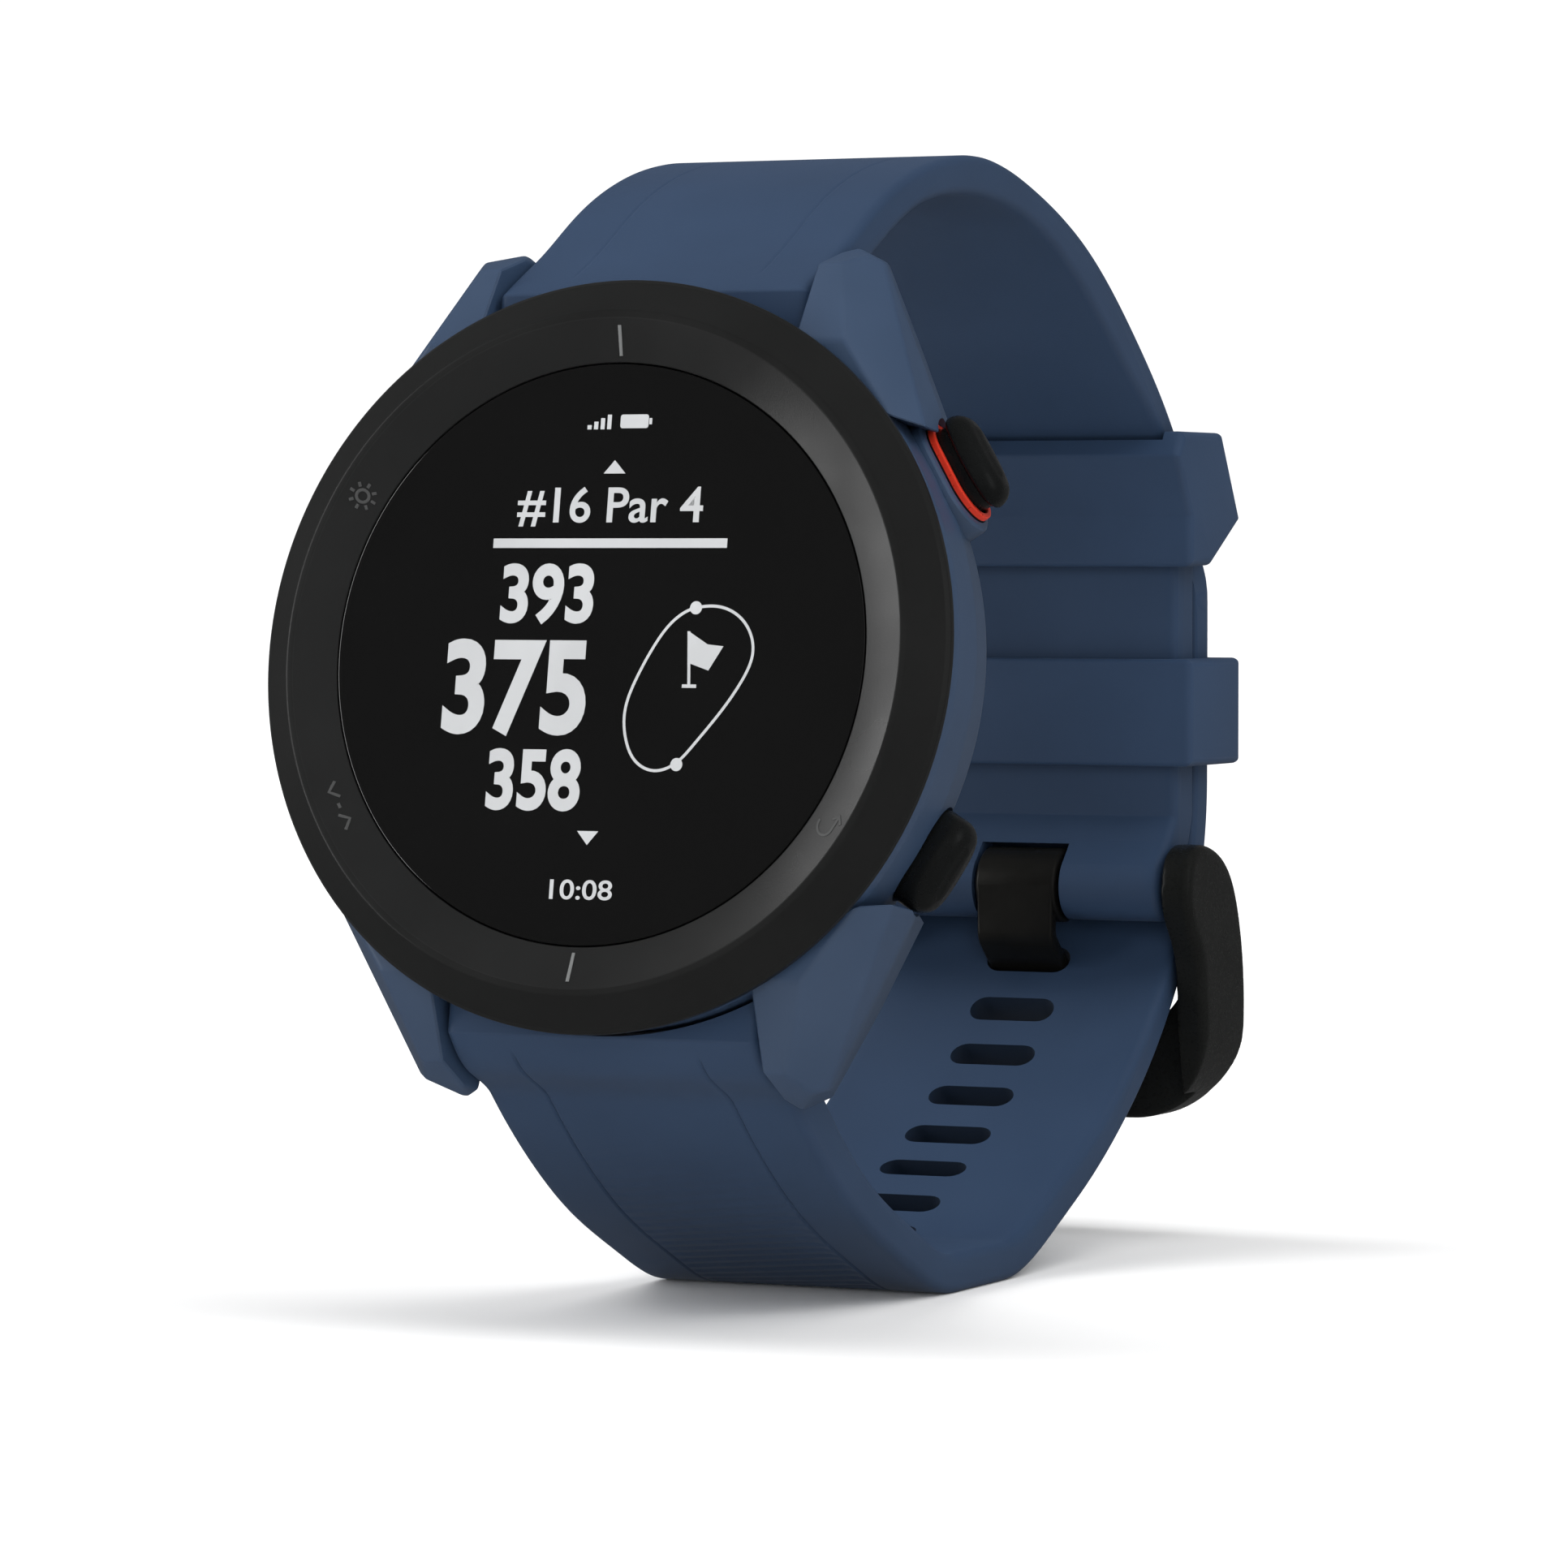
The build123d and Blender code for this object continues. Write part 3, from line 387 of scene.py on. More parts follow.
def across(a, b, height):
    """Places an outline of (y, z) with its height along x."""
    return loop_point(height, a, b)


def on_dial(a, b, height):
    """Places an outline of (x, u) with its height along h."""
    return head_point(a, b, height)


def combine(piece, other, operation):
    """Joins, cuts or intersects two closed meshes and removes the second."""
    modifier = piece.modifiers.new("combine", "BOOLEAN")
    modifier.operation = operation
    modifier.solver = "EXACT"
    modifier.material_mode = "TRANSFER" if other.data.materials else "INDEX"
    modifier.object = other
    apply_modifiers(piece)
    bpy.data.objects.remove(other)
    return piece


def cut(piece, outline, rows, place=across, material=None):
    """Cuts a block out of a piece. Its walls take the material."""
    return combine(piece, rounded_block("cutter", outline, rows, place, material), "DIFFERENCE")


def paint(piece, material):
    piece.data.materials.clear()
    piece.data.materials.append(material)
    return piece


# ---------------------------------------------------------------- materials
def new_material(name, colour, roughness, **sockets):
    """A principled material. The colour is linear."""
    material = bpy.data.materials.new(name)
    material.use_nodes = True
    shader = material.node_tree.nodes["Principled BSDF"]
    shader.inputs["Base Color"].default_value = (*colour, 1)
    shader.inputs["Roughness"].default_value = roughness
    for socket, value in sockets.items():
        shader.inputs[socket.replace("_", " ")].default_value = value
    return material


def add_noise(material, scale, detail=4.0, stretch=(1, 1, 1)):
    """A noise texture in the object's own coordinates."""
    tree = material.node_tree
    where = tree.nodes.new("ShaderNodeTexCoord")
    mapping = tree.nodes.new("ShaderNodeMapping")
    mapping.inputs["Scale"].default_value = stretch
    noise = tree.nodes.new("ShaderNodeTexNoise")
    noise.inputs["Scale"].default_value = scale
    noise.inputs["Detail"].default_value = detail
    tree.links.new(where.outputs["Object"], mapping.inputs["Vector"])
    tree.links.new(mapping.outputs["Vector"], noise.inputs["Vector"])
    return noise.outputs["Fac"]


def vary_colour(material, factor, low, high):
    """The base colour runs from low to high with the factor."""
    tree = material.node_tree
    ramp = tree.nodes.new("ShaderNodeValToRGB")
    ramp.color_ramp.elements[0].position = 0.3
    ramp.color_ramp.elements[1].position = 0.7
    ramp.color_ramp.elements[0].color = (*low, 1)
    ramp.color_ramp.elements[1].color = (*high, 1)
    tree.links.new(factor, ramp.inputs["Fac"])
    tree.links.new(ramp.outputs["Color"], tree.nodes["Principled BSDF"].inputs["Base Color"])


def vary_roughness(material, factor, low, high):
    tree = material.node_tree
    spread = tree.nodes.new("ShaderNodeMapRange")
    spread.inputs["From Min"].default_value = 0.3
    spread.inputs["From Max"].default_value = 0.7
    spread.inputs["To Min"].default_value = low
    spread.inputs["To Max"].default_value = high
    tree.links.new(factor, spread.inputs["Value"])
    tree.links.new(spread.outputs["Result"], tree.nodes["Principled BSDF"].inputs["Roughness"])


def add_bump(material, factor, strength, distance):
    """Fine relief. The distance is in millimetres."""
    tree = material.node_tree
    bump = tree.nodes.new("ShaderNodeBump")
    bump.inputs["Strength"].default_value = strength
    bump.inputs["Distance"].default_value = distance * MM
    tree.links.new(factor, bump.inputs["Height"])
    tree.links.new(bump.outputs["Normal"], tree.nodes["Principled BSDF"].inputs["Normal"])


def scaled(colour, factor):
    return tuple(min(1.0, channel * factor) for channel in colour)


def silicone(name, colour, roughness=0.52):
    """Moulded silicone: matt, with a powdery fine grain and slight cloudiness."""
    material = new_material(
        name, colour, roughness, Sheen_Weight=0.04, Sheen_Roughness=0.45, Specular_IOR_Level=0.2)
    material.node_tree.nodes["Principled BSDF"].inputs["Sheen Tint"].default_value = (0.5, 0.62, 0.85, 1)
    cloud = add_noise(material, 90, 3)
    vary_colour(material, cloud, scaled(colour, 0.93), scaled(colour, 1.07))
    grain = add_noise(material, 9000, 2)
    add_bump(material, grain, 0.25, 0.02)
    vary_roughness(material, cloud, roughness - 0.05, roughness + 0.05)
    return material


def moulded(name, colour, roughness, grain_scale=7000, relief=0.015, gloss=0.5):
    """Moulded plastic with a fine spark-eroded grain."""
    material = new_material(name, colour, roughness, Specular_IOR_Level=gloss)
    cloud = add_noise(material, 160, 3)
    vary_colour(material, cloud, scaled(colour, 0.94), scaled(colour, 1.06))
    add_bump(material, add_noise(material, grain_scale, 2), 0.3, relief)
    vary_roughness(material, cloud, roughness - 0.05, roughness + 0.05)
    return material


def metal(name, colour, roughness, metallic=1.0, stretch=(1, 1, 1), gloss=0.5):
    """Metal or coated metal with fine drawn marks."""
    material = new_material(name, colour, roughness, Metallic=metallic, Specular_IOR_Level=gloss)
    marks = add_noise(material, 3500, 3, stretch)
    vary_colour(material, add_noise(material, 300, 4), scaled(colour, 0.88), scaled(colour, 1.12))
    vary_roughness(material, marks, roughness - 0.06, roughness + 0.08)
    add_bump(material, marks, 0.15, 0.008)
    return material


STRAP_BLUE = (0.0232, 0.0436, 0.0862)
CASE_BLUE = (0.0300, 0.0540, 0.1020)
M = {
    "strap": silicone("strap_silicone", STRAP_BLUE),
    "keeper": silicone("keeper_silicone", scaled(STRAP_BLUE, 1.04)),
    "case": moulded("case_polymer", CASE_BLUE, 0.42),
    "bezel": moulded("bezel_polymer", (0.0085, 0.0087, 0.0086), 0.36, 9000, 0.012, 0.3),
    # inner cone: a glossier finish, and a lighter colour that is a painted reflection of the side lights
    "cone": moulded("bezel_cone_painted_sheen", (0.0120, 0.0122, 0.0122), 0.32, 9000, 0.012, 0.38),
    # slot walls: the strap's blue darkened about half, a painted shade inside the slots
    "slot": silicone("slot_wall_painted_shade", (0.009, 0.0165, 0.032)),
    # the select ring's lower wall: black standing for the shadow in the gap round the ring, a painted shadow
    "base": metal("ring_base_painted_shadow", (0.006, 0.006, 0.006), 0.4, 0.4),
    "relief": moulded("bezel_symbol", (0.055, 0.056, 0.056), 0.5, 9000, 0.01),
    "tick": moulded("bezel_tick", (0.16, 0.165, 0.165), 0.5, 9000, 0.01),
    "figure": moulded("screen_figure", (0.52, 0.53, 0.54), 0.6, 9000, 0.002),
    "button": metal("button_black", (0.011, 0.012, 0.012), 0.3, 0.6),
    "ring": metal("ring_anodised", (0.78, 0.045, 0.02), 0.32, 0.35),
    "buckle": metal("buckle_black", (0.009, 0.0095, 0.0090), 0.29, 0.1, (1, 1, 1), 0.14),
    "tongue": metal("tongue_black", (0.016, 0.0155, 0.014), 0.34, 0.6, (1, 1, 1), 0.3),
    "steel": metal("drawn_steel", (0.46, 0.46, 0.47), 0.3, 1.0, (0.2, 1, 1)),
    "dark_steel": metal("blackened_steel", (0.12, 0.12, 0.125), 0.38),
    "gold": metal("gold_plate", (0.83, 0.58, 0.22), 0.25),
    "back": moulded("back_polymer", (0.017, 0.018, 0.019), 0.45),
    "port": moulded("port_polymer", (0.008, 0.008, 0.008), 0.4),
    "seal": silicone("seal_rubber", (0.012, 0.012, 0.012), 0.6),
    "inner": moulded("inner_polymer", (0.03, 0.03, 0.032), 0.5),
    "display": moulded("display_panel", (0.008, 0.009, 0.009), 0.2),
    "guide": moulded("light_guide_clear", (0.62, 0.65, 0.68), 0.2),
    "film": moulded("flex_film", (0.42, 0.17, 0.03), 0.35),
    "board": moulded("board_mask", (0.012, 0.09, 0.035), 0.35),
    "ceramic": moulded("antenna_ceramic", (0.66, 0.6, 0.5), 0.35),
    "tin": metal("tinned_steel", (0.6, 0.6, 0.6), 0.3),
    "foil": metal("battery_foil", (0.48, 0.48, 0.5), 0.35),
    "white": moulded("switch_body", (0.05, 0.05, 0.05), 0.45),
}


def glass_material():
    """The lens: dark, very smooth glass over a display that is switched on."""
    material = new_material("lens_glass", (0.0018, 0.0018, 0.0018), 0.06, IOR=1.45, Coat_Weight=0.3)
    material.node_tree.nodes["Principled BSDF"].inputs["Coat Roughness"].default_value = 0.04
    smear = add_noise(material, 120, 3)
    vary_roughness(material, smear, 0.05, 0.09)
    vary_colour(material, smear, (0.0016, 0.0016, 0.0016), (0.0021, 0.0021, 0.0021))
    return material


M["glass"] = glass_material()

CAD_LOOKS = {
    "lens_gasket": "seal", "bezel_gasket": "seal", "back_gasket": "seal", "button_seals": "seal",
    "display_module": "display", "light_guide": "guide", "display_flex": "film", "inner_frame": "inner",
    "main_board": "board", "gps_antenna": "ceramic", "shield_can": "tin", "battery": "foil",
    "button_switches": "white", "back_cover": "back", "back_cover_screws": "dark_steel",
    "charging_port": "port", "charging_contacts": "gold", "button_bushes": "steel", "buckle_pin": "steel",
    "upper_spring_bar": "steel", "lower_spring_bar": "steel", "upper_release_tip": "steel",
    "lower_release_tip": "steel", "upper_bar_spring": "steel", "lower_bar_spring": "steel",
    "bezel": "bezel", "lens": "glass", "main_case": "case", "select_button_ring": "ring",
    "upper_strap": "strap", "lower_strap": "strap", "upper_keeper": "keeper", "lower_keeper": "keeper",
    "buckle_frame": "buckle", "buckle_tongue": "tongue",
}
for button in BUTTON_ANGLES:
    CAD_LOOKS[f"{button}_button"] = "button"
    CAD_LOOKS[f"{button}_button_clip"] = "dark_steel"
    CAD_LOOKS[f"{button}_button_spring"] = "steel"
for node, look in CAD_LOOKS.items():
    paint(frame["nodes"][node], M[look])


def finish_piece(piece, node, body):
    """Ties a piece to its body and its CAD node."""
    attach(piece, body)
    if node:
        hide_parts(node)
    return piece


# ---------------------------------------------------------------- strap
RIDGE_PITCH = 1.05
RIDGE_SLANT = 0.22
PANEL_HALF = 6.0
GROOVE_HALF = 0.16
EDGE_ROUND = 0.55


def fade(value, low, high, soft):
    """1 between low and high, falling to 0 over a soft stretch outside."""
    return np.clip((value - low) / soft + 1, 0, 1) * np.clip((high - value) / soft + 1, 0, 1)


def strap_relief(x, along, start, end, ridge_start, ridge_depth, groove_depth):
    """How deep the outer face lies below its plain surface."""
    panel = fade(abs(x), -1, PANEL_HALF - 0.5, 0.3) * fade(along, ridge_start, end, 16.0)
    phase = (along + RIDGE_SLANT * x) / RIDGE_PITCH
    ridge = (phase - np.floor(phase)) ** 1.5
    groove = np.clip(1 - abs(abs(x) - PANEL_HALF) / GROOVE_HALF, 0, 1) * fade(along, start - 2, end + 2, 1.0)
    return ridge_depth * ridge * panel + groove_depth * groove


def strap_rows():
    """(x, inset) rows across the strap: fine over the panel's grooves, and rounded at both edges."""
    half = STRAP_HALF
    middle = list(np.linspace(-half + EDGE_ROUND, half - EDGE_ROUND, 47))
    for side in (-1, 1):
        middle += [side * (PANEL_HALF + step) for step in (-GROOVE_HALF, -0.05, 0, 0.05, GROOVE_HALF)]
    rows = [(x, 0.0) for x in sorted(set(round(x, 4) for x in middle))]
    for step in range(1, 6):
        angle = pi / 2 * step / 5
        x = half - EDGE_ROUND + EDGE_ROUND * sin(angle)
        inset = EDGE_ROUND * (1 - cos(angle))
        rows = [(-x, inset)] + rows + [(x, inset)]
    return rows


def make_strap(name, outer, rest, ridges, top=99.0):
    """A strap half from its outer line and the rest of its outline. Its edges stay square above the top."""
    outline = softened(joined(outer, rest), 0.3)
    square = np.clip((top - outline[:, 1]) / 3, 0, 1)
    distance = np.concatenate([[0], np.cumsum(np.hypot(*np.diff(outer, axis=0).T))])
    gaps = np.hypot(outline[:, None, 0] - outer[None, :, 0], outline[:, None, 1] - outer[None, :, 1])
    along = distance[gaps.argmin(1)]
    is_outer = gaps.min(1) < 0.02
    rings = []
    for x, inset in strap_rows():
        depth = np.where(is_outer, strap_relief(x, along, *ridges), 0.0)
        ring = inset_outline(outline, inset * square + depth)
        rings.append([loop_point(x, y, z) for y, z in ring])
    return loft(name, rings, M["strap"], sharp=50)


def cut_x(piece, outline, low, high):
    """Cuts a hole along x with this (y, z) outline."""
    return cut(piece, outline, [(low, 0), (high, 0)])


def strap_end(piece, side):
    """The tunnel for the spring bar, the notch for its lever, and the hollow end that follows the case."""
    centre = flat(side * BAR_U, BAR_H)
    piece = cut_x(piece, circle(centre, 0.78), -12, 12)
    left, right = LEVER_X - LEVER_ROOM, LEVER_X + LEVER_ROOM
    low, high = side * BAR_U - LEVER_HALF, side * BAR_U + LEVER_HALF
    corners = [(left, low), (right, low), (right, high), (left, high)]
    piece = cut(piece, np.array(corners), [(BAR_H, 0), (BAR_H - 7, 0)], on_dial)
    return combine(piece, turned("cutter", [(0.01, 0), *CASE_ROOM, (0.01, CASE_ROOM[-1][1])]), "DIFFERENCE")


def upper_outer_line():
    points = [
        flat(21.75, -3.2), (11.8, 23.6), (15.6, 25.8), (20.5, 28.0), (27.0, 29.6), (33.0, 29.9), (40.4, 28.4),
        (48.7, 25.2), (57.1, 19.6), (63.0, 14.4), (INNER_BACK, 7.0),
    ]
    return smooth_line(points, (0.85, 0.5), (0, -1), 0.2)


def upper_inner_line():
    points = [
        (INNER_FRONT, 9.0), (61.0, 13.4), (55.4, 17.5), (46.3, 23.5), (38.5, 26.6), (31.0, 27.5),
        (22.9, 26.5), (16.6, 23.6), flat(22.6, -9.6),
    ]
    return smooth_line(points, (0, 1), (-0.5, -0.85), 0.5)


def make_upper_strap():
    """The 12 o'clock half, with the tube for the buckle pin at its end."""
    outer = upper_outer_line()
    shoulder = PIN_Z + 4.6
    tube = arc((PIN_Y, PIN_Z), TUBE_RADIUS, 25, -232, 40)
    rest = joined(
        straight_line((INNER_BACK, 7.0), (INNER_BACK, shoulder), 1.0),
        rounded([(INNER_BACK, shoulder), (66.2, -13.4), tube[0]], 0.6, closed=False),
        tube,
        rounded([tube[-1], (INNER_FRONT - 1.2, -13.0), (INNER_FRONT, shoulder)], 0.4, closed=False),
        straight_line((INNER_FRONT, shoulder), (INNER_FRONT, 9.0), 1.0),
        upper_inner_line(),
        np.array([
            flat(22.6, -9.6), flat(21.75, -8.4), flat(18.5, -8.4), flat(18.5, -3.2), flat(21.75, -3.2)]),
    )
    strap = make_strap("upper_strap_skin", outer, rest, (5.0, 40.0, 20.0, 0.0, 0.05))
    strap = cut_x(strap, circle((PIN_Y, PIN_Z), BARREL_ROOM), -NOTCH_HALF, NOTCH_HALF)
    notch = np.array([(59.0, -19.0), (64.2, -19.0), (64.2, -15.0), (59.0, -15.0)])
    strap = cut_x(strap, notch, -NOTCH_HALF, NOTCH_HALF)
    strap = cut_x(strap, circle((PIN_Y, PIN_Z), PIN_HOLE), -12, 12)
    return strap_end(strap, 1)


SLOT_WIDTH, SLOT_HEIGHT, SLOT_PITCH = 5.9, 2.0, 4.5
SLOT_LEAN = 0.22
TONGUE_DISTANCE = 14.7
TONGUE_DROP = 0.13
SLOTS_BELOW, SLOTS_ABOVE = 7, 4


def lower_outer_lines():
    over_pin = smooth_line(
        [flat(-21.75, -3.2), flat(-23.5, -5.3), (5.2, -26.2)], (0.6, -0.8), (0.7, -0.7), 0.2)
    front = smooth_line(
        [(5.2, -26.2), (9.1, -29.7), (15.4, -34.0), (21.9, -37.1), (28.5, FLOOR)], (0.7, -0.7), (1, 0), 0.2)
    base = straight_line((28.5, FLOOR), (36.0, FLOOR), 0.2)
    rear = smooth_line(
        [(36.0, FLOOR), (44.2, -36.6), (49.2, -34.3), (54.3, -31.4), (58.9, -28.1), (63.0, -24.2),
         (66.5, -19.6), (68.8, -14.6), (TAIL_BACK, -9.0)], (1, 0), (0, 1), 0.3)
    tail = straight_line((TAIL_BACK, -9.0), (TAIL_BACK, 7.0), 0.5)
    return [over_pin, front, base, rear, tail]


def slot_places():
    """(point, direction) on the outer line at each slot. The tongue's own slot comes first."""
    rear, tail = lower_outer_lines()[-2:]
    line = np.vstack([rear, tail[1:]])
    at = np.concatenate([[0], np.cumsum(np.hypot(*np.diff(line, axis=0).T))])
    rear_length = np.sum(np.hypot(*np.diff(rear, axis=0).T))
    places = []
    for step in sorted(range(-SLOTS_BELOW, SLOTS_ABOVE + 1), key=abs):
        along = rear_length - TONGUE_DISTANCE + step * SLOT_PITCH
        point = np.array([np.interp(along, at, line[:, i]) for i in (0, 1)])
        ahead = np.array([np.interp(along + 0.3, at, line[:, i]) for i in (0, 1)])
        places.append((point, (ahead - point) / np.hypot(*(ahead - point))))
    return places


def make_lower_strap():
    """The 6 o'clock half, round the bottom and up outside the other half, with its slots."""
    outer = joined(*lower_outer_lines())
    inner = smooth_line(
        [(TAIL_FRONT, -9.0), (66.4, -13.8), (64.3, -18.5), (61.1, -22.7), (57.3, -26.3), (52.9, -29.4),
         (48.0, -32.2), (43.4, -34.2), (36.0, FLOOR + STRAP_THICKNESS)], (0, -1), (-1, 0), 0.5)
    inner_front = smooth_line(
        [(28.5, FLOOR + STRAP_THICKNESS), (22.9, -34.9), (16.9, -31.9), (11.2, -27.6), (7.6, -24.0)],
        (-1, 0), (-0.7, 0.72), 0.5)
    rest = joined(
        rounded([(TAIL_BACK, 7.0), (TAIL_FRONT + 0.5, TAIL_TIP), (TAIL_FRONT, TAIL_TIP), (TAIL_FRONT, -9.0)],
                [0, 0.25, 0.2, 0], closed=False),
        inner,
        straight_line((36.0, FLOOR + STRAP_THICKNESS), (28.5, FLOOR + STRAP_THICKNESS), 0.7),
        inner_front,
        np.array([
            (7.6, -24.0), flat(-21.75, -8.4), flat(-18.5, -8.4), flat(-18.5, -3.2), flat(-21.75, -3.2)]),
    )
    strap = make_strap("lower_strap_skin", outer, rest, (4.0, 40.0, 26.0, 0.12, 0.13), 7.0)
    shape = racetrack(SLOT_WIDTH, SLOT_HEIGHT, 10)
    flare = [(-STRAP_THICKNESS - 2, 0), (-0.2, 0), (0.1, -0.2), (1.0, -0.2)]
    for index, (point, direction) in enumerate(slot_places()):
        out = np.array([direction[1], -direction[0]])
        slope = SLOT_LEAN if index else 0.0

        def place(a, b, height):
            lean = -slope * (height + STRAP_THICKNESS)
            y, z = point + direction * (b + lean) + out * height
            return loop_point(a, y, z)

        # the slot's cut walls take the darker slot material, painted shade inside each slot
        strap = cut(strap, shape, flare, place, M["slot"])
    tip = joined(
        np.array([(-11, 20), (-11, TAIL_TIP - 10)]), arc((0, TAIL_TIP - 10), STRAP_HALF, 180, 0, 40),
        np.array([(11, TAIL_TIP - 10), (11, 20)]))

    def across_tail(a, b, height):
        return loop_point(a, height, b)

    strap = cut(strap, tip, [(65, 0), (72, 0)], across_tail)
    return strap_end(strap, -1)


upper_strap = finish_piece(make_upper_strap(), "upper_strap", "watch")
lower_strap = finish_piece(make_lower_strap(), "lower_strap", "watch")
for piece in (upper_strap, lower_strap):
    shade(piece, 40)

# ---------------------------------------------------------------- keepers
KEEPER_HALF = 11.6
KEEPER_GAP = 0.2


def make_keeper(name, outer, inner, corner, edge):
    """A rubber loop with rounded edges, from the side views of its outside and its hollow."""
    shell = rounded_block(
        name, rounded(outer, corner, 5), edge_rows(-KEEPER_HALF, KEEPER_HALF, edge, 5), across, M["keeper"])
    hollow = STRAP_HALF + KEEPER_GAP
    shell = cut_x(shell, np.array(inner), -hollow, hollow)
    shade(shell, 40)
    return shell


front = INNER_FRONT - KEEPER_GAP
face = front - 1.1
back = TAIL_BACK + KEEPER_GAP
lower_keeper = make_keeper(
    "lower_keeper_skin", [(face, -8.1), (face, -1.1), (back + 1.35, -1.1), (back + 1.35, -8.1)],
    [(front, -9.5), (front, 0.5), (back, 0.5), (back, -9.5)], 0.3, 0.55)
upper_keeper = make_keeper(
    "upper_keeper_skin",
    [(face, 4.9), (face, 8.2), (59.9, 12.1), (61.0, 13.7), (67.9, 13.7), (71.2, 8.0), (66.0, 5.0)],
    [(front, 3.0), (front, 8.6), (60.6, 13.2), (60.6, 15.0), (66.4, 15.0), (70.2, 8.3), (70.2, 3.0)],
    0.35, 0.55)
finish_piece(lower_keeper, "lower_keeper", "lower_keeper")
finish_piece(upper_keeper, "upper_keeper", "upper_keeper")


# ---------------------------------------------------------------- bezel
def bezel_profile():
    inner = LENS_RADIUS + 0.05
    corners = [
        (inner, LENS_TOP - 0.02), (CREST_RADIUS - 0.25, CREST_HEIGHT - 0.05),
        (CREST_RADIUS + 0.2, CREST_HEIGHT - 0.05),
        (RIM_RADIUS - 0.22, 0.15), (RIM_RADIUS, -0.12), (RIM_RADIUS, -0.5), (RIM_RADIUS - 0.35, BEZEL_BOTTOM),
        (19.6, BEZEL_BOTTOM), (19.6, -2.2), (15.6, -2.2), (15.6, -1.2), (inner, -1.2),
    ]
    radii = [0.12, 0.4, 0.35, 0.3, 0.15, 0.15, 0.2, 0, 0, 0, 0, 0]
    return rounded(corners, radii, 6)


def make_bezel():
    """The bezel. Its inner cone takes a glossier material whose lighter colour is a painted reflection."""
    piece = turned("bezel_skin", bezel_profile(), M["bezel"], 300)
    piece.data.materials.append(M["cone"])
    # faces of the inner cone take the lighter material, a painted reflection
    for each in piece.data.polygons:
        offset = each.center / MM - RIM_CENTRE
        u = offset.y * sin(HEAD_TILT) + offset.z * cos(HEAD_TILT)
        h = offset.z * sin(HEAD_TILT) - offset.y * cos(HEAD_TILT)
        radius = (offset.x**2 + u**2) ** 0.5
        if LENS_RADIUS < radius < CREST_RADIUS - 0.15 and h > LENS_TOP - 0.1:
            each.material_index = 1
    return piece


finish_piece(make_bezel(), "bezel", "watch")


def cone_height(radius):
    """Height of the bezel's inner cone at a radius."""
    inner = LENS_RADIUS + 0.05
    share = (radius - inner) / (CREST_RADIUS - 0.25 - inner)
    return LENS_TOP - 0.02 + share * (CREST_HEIGHT - 0.05 - LENS_TOP + 0.02)


def stroke_outline(points, width):
    """The outline of a stroke of this width through the points."""
    points = np.array(points, float)
    along = np.gradient(points, axis=0)
    along /= np.hypot(*along.T)[:, None]
    side = np.c_[-along[:, 1], along[:, 0]] * width / 2
    return np.vstack([points + side, (points - side)[::-1]])


def cone_place(angle, radius):
    """Places (along the ring, outward) marks on the bezel's cone about an angle and a radius."""

    def place(a, b, height):
        turn = radians(angle) + a / radius
        r = radius + b
        return head_point(r * sin(turn), r * cos(turn), cone_height(r) + height)

    return place


def cone_mark(name, points, width, angle, radius, material, proud=0.035):
    outline = stroke_outline(points, width)
    return rounded_block(name, outline, [(-0.05, 0), (proud - 0.01, 0), (proud, 0.02)],
                         cone_place(angle, radius), material)


def line_points(*corners):
    """Corners joined by short steps, so that a mark follows the cone."""
    pieces = [straight_line(corners[i], corners[i + 1], 0.25) for i in range(len(corners) - 1)]
    return joined(*pieces) if len(pieces) > 1 else pieces[0]


def chevron(centre, up, size=0.5):
    tip = up * size / 2
    return line_points((centre - size, -tip), (centre, tip), (centre + size, -tip))


def lamp_symbol():
    """A small round lamp with rays."""
    rim = circle((0, 0), 0.36, 24)
    rays = []
    for angle in range(0, 360, 45):
        way = np.array([cos(radians(angle)), sin(radians(angle))])
        rays.append(line_points(way * 0.55, way * 0.82))
    return [np.vstack([rim, rim[:1]])] + rays


def back_symbol():
    """An arrow that turns back."""
    bow = arc((0.1, -0.05), 0.55, -100, 90, 20)
    tail = line_points((0.1, 0.5), (-0.75, 0.5))
    head = line_points((-0.42, 0.86), (-0.8, 0.5), (-0.42, 0.14))
    return [np.vstack([bow, tail[1:]]), head]


def bezel_marks():
    """Generic marks on the cone: a line at 12 and at 6 o'clock, and a symbol by each of three buttons."""
    marks = []
    for index, angle in enumerate((1.0, 180.0)):
        line = line_points((0, -0.85), (0, 0.85))
        marks.append(cone_mark(f"tick_{index}", line, 0.2, angle, 18.1, M["tick"], 0.05))
    rows = {
        "lamp": (300, lamp_symbol()),
        "scroll": (240, [chevron(-1.0, -1), line_points((-0.16, 0), (0.16, 0)), chevron(1.0, 1)]),
        "back": (122, back_symbol()),
    }
    for name, (angle, strokes) in rows.items():
        for index, stroke in enumerate(strokes):
            marks.append(cone_mark(f"symbol_{name}_{index}", stroke, 0.17, angle, 18.2, M["relief"]))
    return marks


for mark in bezel_marks():
    finish_piece(mark, None, "watch")


# ---------------------------------------------------------------- lens and what the screen shows
def make_lens():
    """A disc with a polished edge, its face made of rings so that it shades evenly."""
    bottom = LENS_TOP - 1.5
    radii = [LENS_RADIUS * share for share in (0.001, 0.3, 0.6, 0.8, 0.93)]
    top = [(r, LENS_TOP) for r in radii]
    edge = rounded([(LENS_RADIUS - 0.4, LENS_TOP), (LENS_RADIUS, LENS_TOP), (LENS_RADIUS, bottom)],
                   0.14, 6, closed=False)
    return turned("lens_skin", np.vstack([top, edge, [(0.01, bottom)]]), M["glass"], 240)


finish_piece(make_lens(), "lens", "watch")

